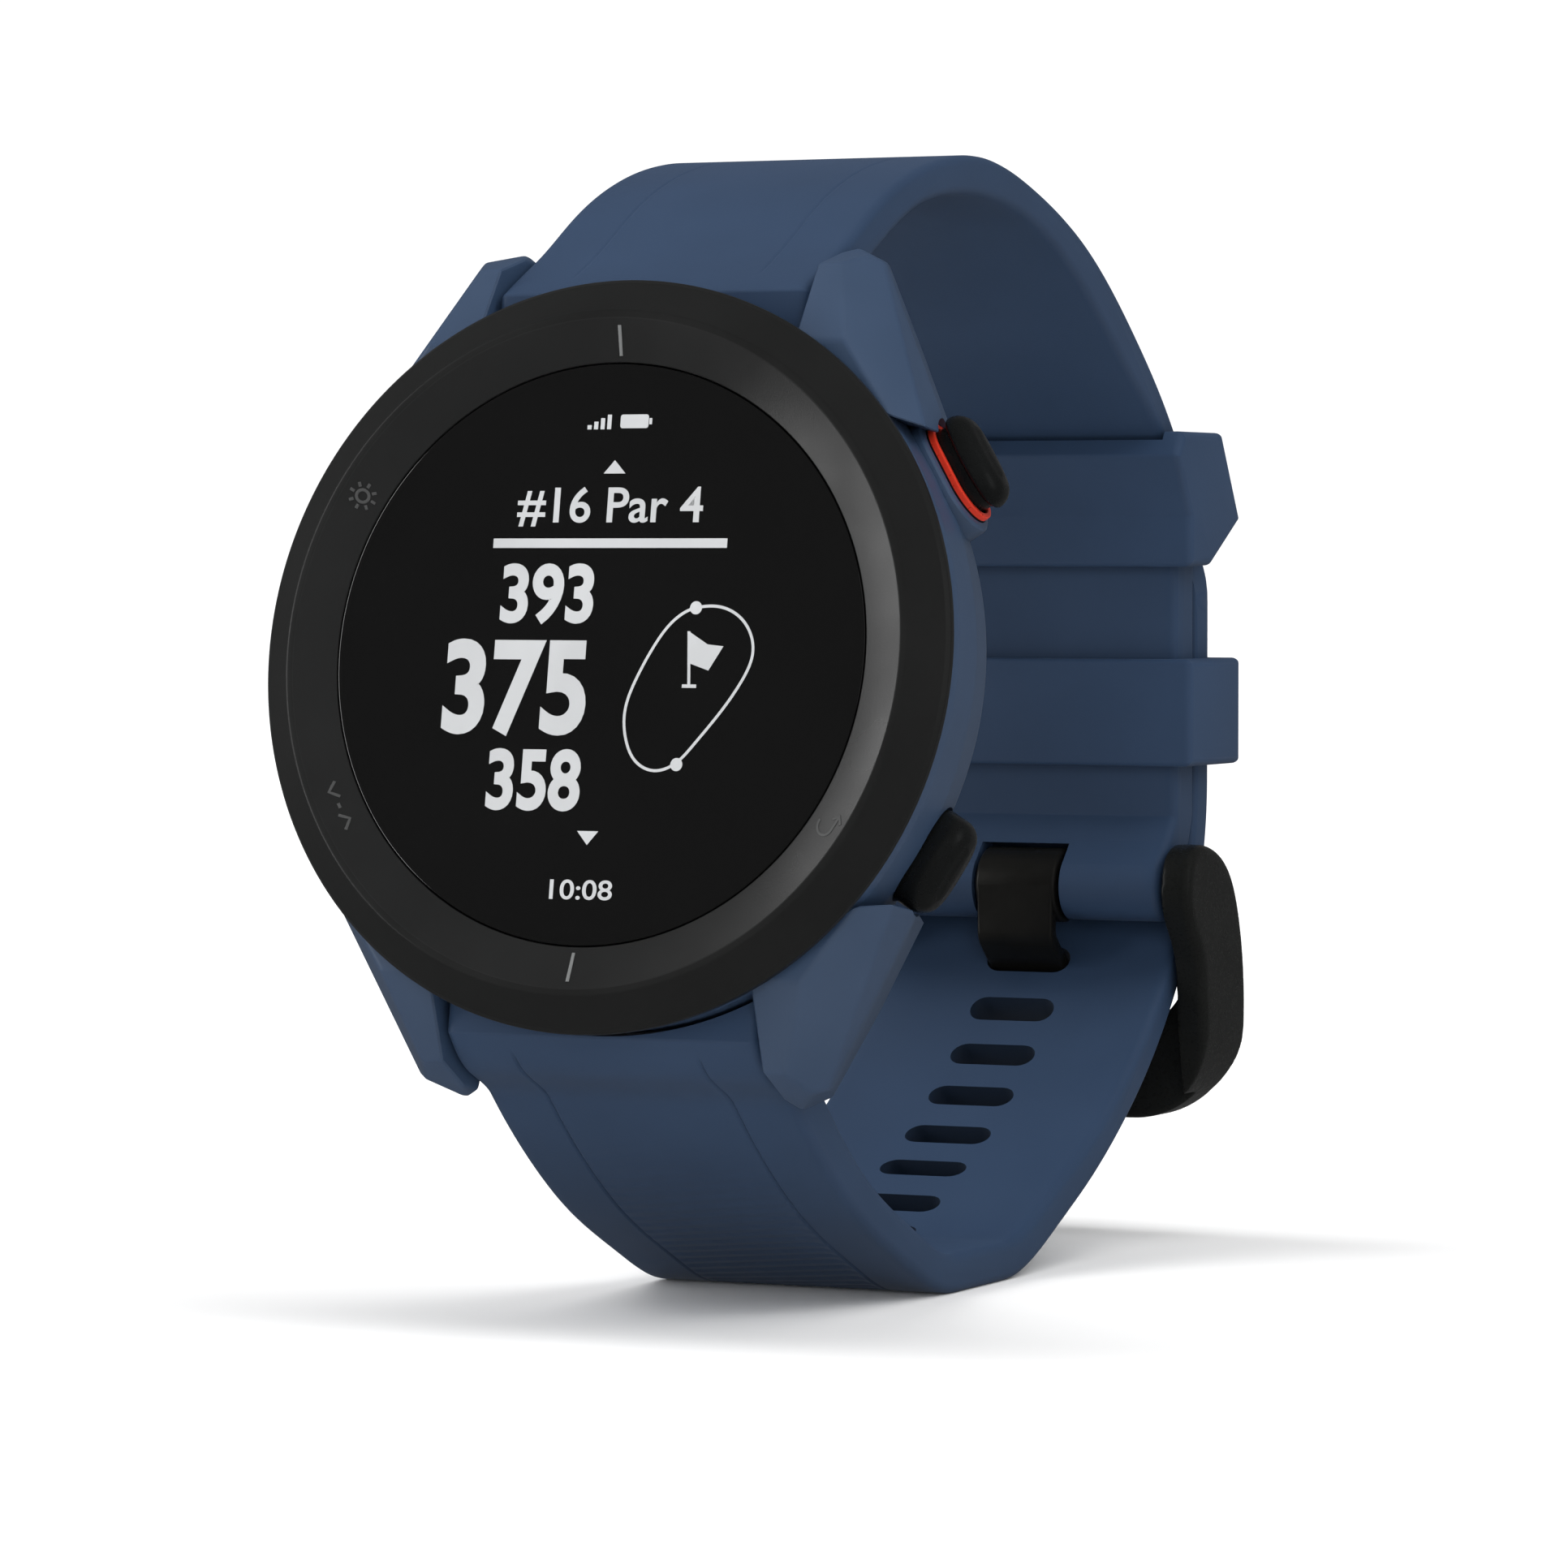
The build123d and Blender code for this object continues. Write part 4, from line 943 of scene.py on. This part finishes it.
SCREEN_HEIGHT = LENS_TOP + 0.004
FIGURE_THICKNESS = 0.012


def screen_shape(name, outline, material="figure", lift=0.0):
    """A flat mark just over the lens, from its (x, u) outline."""
    low = SCREEN_HEIGHT + lift
    rows = [(low, 0), (low + FIGURE_THICKNESS, 0)]
    piece = rounded_block(name, np.array(outline, float), rows, on_dial, M[material])
    return finish_piece(piece, None, "watch")


def screen_text(name, text, left, right, bottom, top, weight=0.02):
    """Figures fitted into a box of the screen."""
    curve = bpy.data.curves.new(name, "FONT")
    curve.body = text
    curve.size = 1.0
    curve.offset = weight
    curve.extrude = 0.02
    curve.resolution_u = 6
    source = linked(name + "_source", curve)
    mesh = evaluated_mesh(source)
    bpy.data.objects.remove(source)
    co = np.array([vertex.co for vertex in mesh.vertices])
    low, high = co.min(0), co.max(0)
    size = np.maximum(high - low, 1e-9)
    for vertex in mesh.vertices:
        share = (np.array(vertex.co) - low) / size
        x = left + share[0] * (right - left)
        u = bottom + share[1] * (top - bottom)
        vertex.co = head_point(x, u, SCREEN_HEIGHT + share[2] * FIGURE_THICKNESS) * MM
    mesh.materials.clear()
    mesh.materials.append(M["figure"])
    piece = linked(name, mesh)
    return finish_piece(piece, None, "watch")


def make_screen():
    screen_text("hole_and_par", "#16 Par 4", -5.75, 6.15, 7.35, 9.65, 0.012)
    screen_text("distance_far", "393", -6.4, -0.42, 1.65, 5.2, 0.03)
    screen_text("distance_middle", "375", -9.7, -0.45, -4.85, 0.8, 0.03)
    screen_text("distance_near", "358", -6.45, -0.42, -9.15, -5.55, 0.03)
    screen_text("clock", "10:08", -1.9, 2.1, -14.2, -13.05, 0.01)
    screen_shape("rule", [(-7.15, 6.1), (7.83, 6.1), (7.83, 6.65), (-7.15, 6.65)])
    screen_shape("arrow_up", [(-0.35, 10.42), (1.05, 10.42), (0.32, 11.2)])
    screen_shape("arrow_down", [(-0.4, -10.25), (0.95, -10.25), (0.28, -11.05)])
    # signal bars and battery, a plain status row at the top
    for i in range(4):
        left = -1.6 + 0.42 * i
        screen_shape(f"signal_{i}", [(left, 13.0), (left + 0.26, 13.0), (left + 0.26, 13.25 + 0.2 * i),
                                     (left, 13.25 + 0.2 * i)])
    battery = rounded([(0.5, 13.05), (2.3, 13.05), (2.3, 13.85), (0.5, 13.85)], 0.15, 4)
    screen_shape("battery_mark", battery)
    screen_shape("battery_end", [(2.34, 13.27), (2.52, 13.27), (2.52, 13.63), (2.34, 13.63)])
    # the green's outline, its two dots and the flag
    green = smooth_line(
        [(6.15, 2.65), (7.6, 2.72), (9.2, 1.9), (9.92, 0.2), (9.3, -1.6), (8.0, -3.5), (6.6, -5.2),
         (5.5, -6.3), (4.2, -6.72), (3.0, -6.2), (2.3, -5.0), (2.1, -3.3), (2.7, -1.4), (3.7, 0.5),
         (4.9, 2.0), (6.15, 2.65)],
        (1, 0.2), (1, 0.2), 0.15)
    screen_shape("green_outline", stroke_outline(green, 0.17))
    screen_shape("green_dot_far", circle((6.15, 2.65), 0.38, 24), lift=0.004)
    screen_shape("green_dot_near", circle((5.6, -6.35), 0.38, 24), lift=0.004)
    screen_shape("flag_pole", [(5.72, 1.3), (5.9, 1.3), (6.12, -1.75), (5.94, -1.75)])
    cloth = [(5.8, 1.3), (7.05, 0.55), (8.05, 0.45), (7.2, -0.95), (6.0, -0.55)]
    screen_shape("flag_cloth", cloth, lift=0.004)
    screen_shape("flag_foot", [(5.6, -1.75), (6.5, -1.75), (6.5, -1.95), (5.6, -1.95)])


make_screen()


# ---------------------------------------------------------------- case
def case_profile():
    corners = [
        (19.65, BEZEL_BOTTOM), (21.35, BEZEL_BOTTOM), (21.45, -2.2), (21.3, -5.0), (20.8, -7.6), (19.9, -9.5),
        (19.4, CASE_BACK), (18.0, CASE_BACK), (18.0, -8.85), (17.0, -8.85), (17.0, -8.2), (18.2, -8.2),
        (18.2, -2.5), (19.65, -2.5),
    ]
    radii = [0, 0.15, 2.0, 3.0, 3.0, 0.6, 0.35, 0.15, 0, 0, 0, 0, 0, 0]
    return rounded(corners, radii, 5)


def lug_outline():
    return [(10.25, 16.5), (10.25, 24.6), (10.9, 25.1), (13.15, 24.0), (18.1, 13.6), (14.5, 14.5)]


LUG_CUTS = [
    ((10, 18.5, -1.25), (20, 18.5, -1.25), (10, 25.1, -4.6)),
    ((16.6, 14.0, -1.2), (18.1, 14.0, -3.4), (11.2, 24.5, -4.2)),
    ((13.15, 24.0, -7.0), (18.0, 14.0, -6.2), (12.25, 24.0, -10.1)),
    ((10, 23.5, -4.0), (20, 23.5, -4.0), (10, 25.3, -8.3)),
    ((10, 25.1, -8.4), (20, 25.1, -8.4), (10, 19.0, -10.1)),
]
LUG_EDGE = 0.28


def make_lug(side_x, side_u):
    """A faceted horn with softened edges, cut from a block by planes as in the part."""
    work = bmesh.new()
    ring = [work.verts.new((x, u, CASE_BACK + 0.006)) for x, u in lug_outline()]
    top = [work.verts.new((x, u, BEZEL_BOTTOM - 0.006)) for x, u in lug_outline()]
    work.faces.new(ring)
    work.faces.new(top)
    for i in range(len(ring)):
        k = (i + 1) % len(ring)
        work.faces.new((ring[i], ring[k], top[k], top[i]))
    bmesh.ops.recalc_face_normals(work, faces=work.faces)
    for a, b, c in LUG_CUTS:
        a, b, c = Vector(a), Vector(b), Vector(c)
        cut = bmesh.ops.bisect_plane(
            work, geom=work.verts[:] + work.edges[:] + work.faces[:], plane_co=a,
            plane_no=(b - a).cross(c - a), clear_outer=True, dist=1e-5)
        edges = [item for item in cut["geom_cut"] if isinstance(item, bmesh.types.BMEdge)]
        if edges:
            bmesh.ops.contextual_create(work, geom=edges)
    bmesh.ops.dissolve_limit(work, angle_limit=0.01, verts=work.verts[:], edges=work.edges[:])
    bmesh.ops.bevel(work, geom=work.edges[:], offset=LUG_EDGE, segments=3, profile=0.6, affect="EDGES")
    points = [head_point(side_x * v.co.x, side_u * v.co.y, v.co.z) for v in work.verts]
    work.verts.index_update()
    faces = [[v.index for v in each.verts] for each in work.faces]
    work.free()
    return add_mesh("lug", points, faces)


def make_case():
    case = turned("main_case_skin", case_profile(), M["case"], 240)
    # the hollow cut from the lugs ends inside the case's wall, so that no two faces coincide
    bore = rounded_block(
        "cutter", circle((0, 0), HOLLOW_RADIUS, 120, 0.7), [(CASE_BACK - 1, 0), (-2.9, 0)], on_dial)
    step = rounded_block(
        "cutter", circle((0, 0), BEZEL_SEAT_RADIUS, 120, 0.7), [(-3.0, 0), (BEZEL_BOTTOM + 1, 0)], on_dial)
    bore = combine(bore, step, "UNION")
    for side_x in (1, -1):
        for side_u in (1, -1):
            lug = combine(make_lug(side_x, side_u), linked("bore_copy", bore.data.copy()), "DIFFERENCE")
            case = combine(case, lug, "UNION")
    bpy.data.objects.remove(bore)
    edge = ((0.4, 0), (0.2, 0.06), (0.06, 0.2), (0, 0.4))
    collar_rows = [(COLLAR_TOP - drop, inset) for drop, inset in edge]
    collar = rounded_block(
        "collar", racetrack(BUTTON_LENGTH + COLLAR_STEP, BUTTON_WIDTH + COLLAR_STEP),
        [(COLLAR_BOTTOM, 0), *collar_rows], button_point(BUTTON_ANGLES["select"]))
    case = combine(case, collar, "UNION")
    for name, angle in BUTTON_ANGLES.items():
        gap, rows = POCKET_GAP, [(POCKET_FLOOR, 0), (25, 0)]
        if name == "select":
            gap += RING_SEAT_GAP
            step = [(POCKET_FLOOR, RING_SEAT_GAP), (RING_SEAT, RING_SEAT_GAP), (RING_SEAT + 0.002, 0)]
            rows = [*step, (25, 0)]
        pocket = racetrack(BUTTON_LENGTH + 2 * gap, BUTTON_WIDTH + 2 * gap)
        case = cut(case, pocket, rows, button_point(angle))
        case = cut(case, circle((0, 0), 1.6), [(16.8, 0), (20.2, 0)], button_point(angle))
    for side in (1, -1):
        hole = arc(flat(side * BAR_U, BAR_H), 0.45, 0, 352.5, 23)
        case = cut_x(case, hole, -11.1, 11.1)
    paint(case, M["case"])
    shade(case, 28)
    return case


finish_piece(make_case(), "main_case", "watch")


# ---------------------------------------------------------------- buttons
NECK_STEP, NECK_TOP = 0.6, 22.8
RING_STEP, RING_BOTTOM, RING_TOP = 0.4, 20.85, 22.2
# up to this height the ring's wall is painted black as a painted shadow
RING_SHADOW_TOP = 21.85


def oval(length, width, power=2.5, steps=96):
    """A rounded oval, fuller than an ellipse."""
    turn = np.linspace(0, 2 * pi, steps, endpoint=False)
    sine, cosine = np.sin(turn), np.cos(turn)
    return np.c_[
        length / 2 * np.sign(cosine) * np.abs(cosine) ** (2 / power),
        width / 2 * np.sign(sine) * np.abs(sine) ** (2 / power)]


def dome_rows(low, high, base_edge, top_edge, steps=8):
    """Rows of a cap with a small round at its base, a large one at its top and a slightly crowned face."""
    rows = []
    for step in range(4):
        turn = pi / 2 * step / 3
        rows.append((low + base_edge * (1 - cos(turn)), base_edge * (1 - sin(turn))))
    for step in range(steps + 1):
        turn = pi / 2 * step / steps
        rows.append((high - 0.12 - top_edge * (1 - sin(turn)), top_edge * (1 - cos(turn))))
    return rows + [(high - 0.05, top_edge + 0.2), (high, top_edge + 0.45)]


def make_button(name, angle, outer):
    """A cap with a soft edge on its stem. The select cap has a narrower neck inside its ring."""
    place = button_point(angle)
    low = NECK_TOP if name == "select" else BUTTON_UNDERSIDE
    cap = rounded_block(
        f"{name}_button_cap", oval(BUTTON_LENGTH, BUTTON_WIDTH), dome_rows(low, outer, 0.3, 1.15), place)
    if name == "select":
        neck = racetrack(BUTTON_LENGTH - NECK_STEP, BUTTON_WIDTH - NECK_STEP)
        neck = rounded_block("neck", neck, [(BUTTON_UNDERSIDE, 0), (low + 0.4, 0)], place)
        cap = combine(cap, neck, "UNION")
    stem = circle((0, 0), 0.9)
    stem_rows = [(16.5, 0.1), (16.6, 0), (17.2, 0), (17.22, 0.3), (17.5, 0.3), (17.52, 0), (20.9, 0)]
    return combine(cap, rounded_block("stem", stem, stem_rows, place), "UNION")


for name, angle in BUTTON_ANGLES.items():
    cap = make_button(name, angle, BUTTON_OUTER[name])
    paint(cap, M["button"])
    shade(cap, 40)
    finish_piece(cap, f"{name}_button", f"{name}_button")


def make_select_ring():
    """The coloured ring round the neck of the select cap, with a rounded rim. Its wall below the rim is
    black, a painted shadow of the gap round it.
    """
    place = button_point(BUTTON_ANGLES["select"])
    outer = racetrack(BUTTON_LENGTH + RING_STEP, BUTTON_WIDTH + RING_STEP, 24)
    gap = NECK_STEP - 0.3
    inner = racetrack(BUTTON_LENGTH - gap, BUTTON_WIDTH - gap, 24)
    rim = rounded([(0, RING_BOTTOM), (0, RING_TOP), (1, RING_TOP), (1, RING_BOTTOM)], [0, 0.16, 0.16, 0], 5)
    rim = np.insert(rim, 1, (0, RING_SHADOW_TOP), 0)
    rings = [[place(a, b, height) for a, b in outer + (inner - outer) * share] for share, height in rim]
    ring = loft("select_ring_skin", rings, M["ring"], closed=True)
    ring.data.materials.append(M["base"])
    edge = place(0, 0, 0)
    way = place(0, 0, 1) - edge
    # faces below the rim take the black material, a painted shadow
    for each in ring.data.polygons:
        if (each.center / MM - edge).dot(way) < RING_SHADOW_TOP:
            each.material_index = 1
    return ring


finish_piece(make_select_ring(), "select_button_ring", "watch")


# ---------------------------------------------------------------- buckle
def from_cad(name, node, voxel, passes, material):
    """A copy of a node's mesh, with every edge softened as in a tumbled casting."""
    piece = linked(name, frame["nodes"][node].data.copy())
    remesh = piece.modifiers.new("remesh", "REMESH")
    remesh.mode = "VOXEL"
    remesh.voxel_size = voxel * MM
    relax = piece.modifiers.new("smooth", "SMOOTH")
    relax.factor = 0.5
    relax.iterations = passes
    apply_modifiers(piece)
    piece.data.shade_smooth()
    return paint(piece, material)


def tongue_line():
    """The tongue's middle line in the side view, from the barrel to the tip."""
    point, direction = slot_places()[0]
    out = np.array([direction[1], -direction[0]])
    point = point - direction * TONGUE_DROP
    start = point - out * (STRAP_THICKNESS + 1.0)
    finish = point + out * 0.9
    root_y = PIN_Y - BARREL_RADIUS + TONGUE_THICKNESS / 2
    corners = [(root_y, PIN_Z), (root_y, start[1] + 1.1), start, finish, (69.3, -26.0), (69.45, -30.0)]
    return rounded(corners, [0, 1.0, 1.0, 1.2, 2.0, 0], 8, closed=False)


def make_tongue():
    """A barrel on the pin and a flat tongue with rounded edges."""
    line = tongue_line()
    body_outline = stroke_outline(line, TONGUE_THICKNESS)
    body = rounded_block(
        "buckle_tongue_skin", body_outline, edge_rows(-TONGUE_HALF, TONGUE_HALF, 0.22, 4), across)
    barrel_rows = edge_rows(-BARREL_HALF, BARREL_HALF, 0.25, 4)
    barrel = rounded_block("barrel", circle((PIN_Y, PIN_Z), BARREL_RADIUS, 60), barrel_rows, across)
    body = combine(body, barrel, "UNION")
    body = cut_x(body, circle((PIN_Y, PIN_Z), PIN_HOLE), -5, 5)
    paint(body, M["tongue"])
    shade(body, 40)
    return body


buckle_frame = from_cad("buckle_frame_skin", "buckle_frame", 0.13, 12, M["buckle"])
finish_piece(buckle_frame, "buckle_frame", "buckle")
finish_piece(make_tongue(), "buckle_tongue", "tongue")

# ---------------------------------------------------------------- camera
AZIMUTH, ELEVATION = radians(25.2), radians(2.0)
DISTANCE = 380.0
SHIFT_RIGHT, SHIFT_UP = -10.51, 7.41


def make_camera():
    ahead = Vector((-sin(AZIMUTH) * cos(ELEVATION), cos(AZIMUTH) * cos(ELEVATION), -sin(ELEVATION)))
    right = Vector((cos(AZIMUTH), sin(AZIMUTH), 0))
    up = right.cross(ahead)
    eye = RIM_CENTRE - (ahead * DISTANCE + right * SHIFT_RIGHT + up * SHIFT_UP)
    data = bpy.data.cameras.new("camera")
    data.lens = 152.3
    data.sensor_width = 36.0
    data.clip_start = 0.01
    data.clip_end = 50
    camera = linked("camera", data)
    camera.matrix_world = Matrix((
        (right.x, up.x, -ahead.x, eye.x * MM), (right.y, up.y, -ahead.y, eye.y * MM),
        (right.z, up.z, -ahead.z, eye.z * MM), (0, 0, 0, 1)))
    bpy.context.scene.camera = camera


make_camera()


# ---------------------------------------------------------------- studio
AMBIENT, BACKDROP, REFLECTED = 0.24, 1.1, 0.13


def area_light(name, position, target, size, power):
    data = bpy.data.lights.new(name, "AREA")
    data.shape = "RECTANGLE"
    data.size, data.size_y = size
    data.energy = power
    light = linked(name, data)
    light.location = position
    light.rotation_euler = (Vector(target) - Vector(position)).to_track_quat("-Z", "Y").to_euler()


def make_floor():
    half = 6.0
    mesh = bpy.data.meshes.new("floor")
    corners = [(-half, -half, 0), (half, -half, 0), (half, half, 0), (-half, half, 0)]
    mesh.from_pydata(corners, [], [(0, 1, 2, 3)])
    floor = linked("floor", mesh)
    material = new_material("pale_floor", (0.93, 0.93, 0.93), 0.9, Specular_IOR_Level=0.0)
    cloud = add_noise(material, 6, 2)
    vary_colour(material, cloud, (0.925, 0.925, 0.925), (0.935, 0.935, 0.935))
    mesh.materials.append(material)
    floor.visible_glossy = False


def make_world():
    """White to the camera, dim on the surfaces it lights, and dimmer in reflections."""
    world = bpy.data.worlds.new("studio")
    bpy.context.scene.world = world
    world.use_nodes = True
    tree = world.node_tree
    tree.nodes.clear()
    output = tree.nodes.new("ShaderNodeOutputWorld")
    path = tree.nodes.new("ShaderNodeLightPath")
    shaders = []
    for strength in (AMBIENT, BACKDROP, REFLECTED):
        shader = tree.nodes.new("ShaderNodeBackground")
        shader.inputs["Color"].default_value = (1, 1, 1, 1)
        shader.inputs["Strength"].default_value = strength
        shaders.append(shader.outputs[0])
    mixed = shaders[0]
    for ray, shader in (("Is Camera Ray", shaders[1]), ("Is Glossy Ray", shaders[2])):
        mix = tree.nodes.new("ShaderNodeMixShader")
        tree.links.new(path.outputs[ray], mix.inputs[0])
        tree.links.new(mixed, mix.inputs[1])
        tree.links.new(shader, mix.inputs[2])
        mixed = mix.outputs[0]
    tree.links.new(mixed, output.inputs[0])


def sun_light(name, direction, strength, spread):
    """Light from one side of the sky, soft by its spread in degrees."""
    data = bpy.data.lights.new(name, "SUN")
    data.energy = strength
    data.angle = radians(spread)
    light = linked(name, data)
    light.rotation_euler = (-Vector(direction)).to_track_quat("-Z", "Y").to_euler()
    light.visible_glossy = False


def make_lights():
    target = (0, 0, 0.035)
    # a row of suns from left to right draws the shadow out sideways and keeps it short in front
    for index, lean in enumerate((-1.3, -0.6, 0.0, 0.6, 1.3)):
        sun_light(f"sky_{index}", (lean, 0.0, 1.0), 0.8, 40)
    sun_light("front", (0.35, -1.0, 0.12), 1.55, 50)
    area_light("left_strip", (-0.62, -0.42, 0.12), target, (0.14, 0.6), 1.8)
    area_light("right_softbox", (0.72, -0.25, 0.25), target, (0.3, 0.5), 0.25)


make_floor()
make_world()
make_lights()
bpy.context.scene.view_settings.view_transform = "Standard"
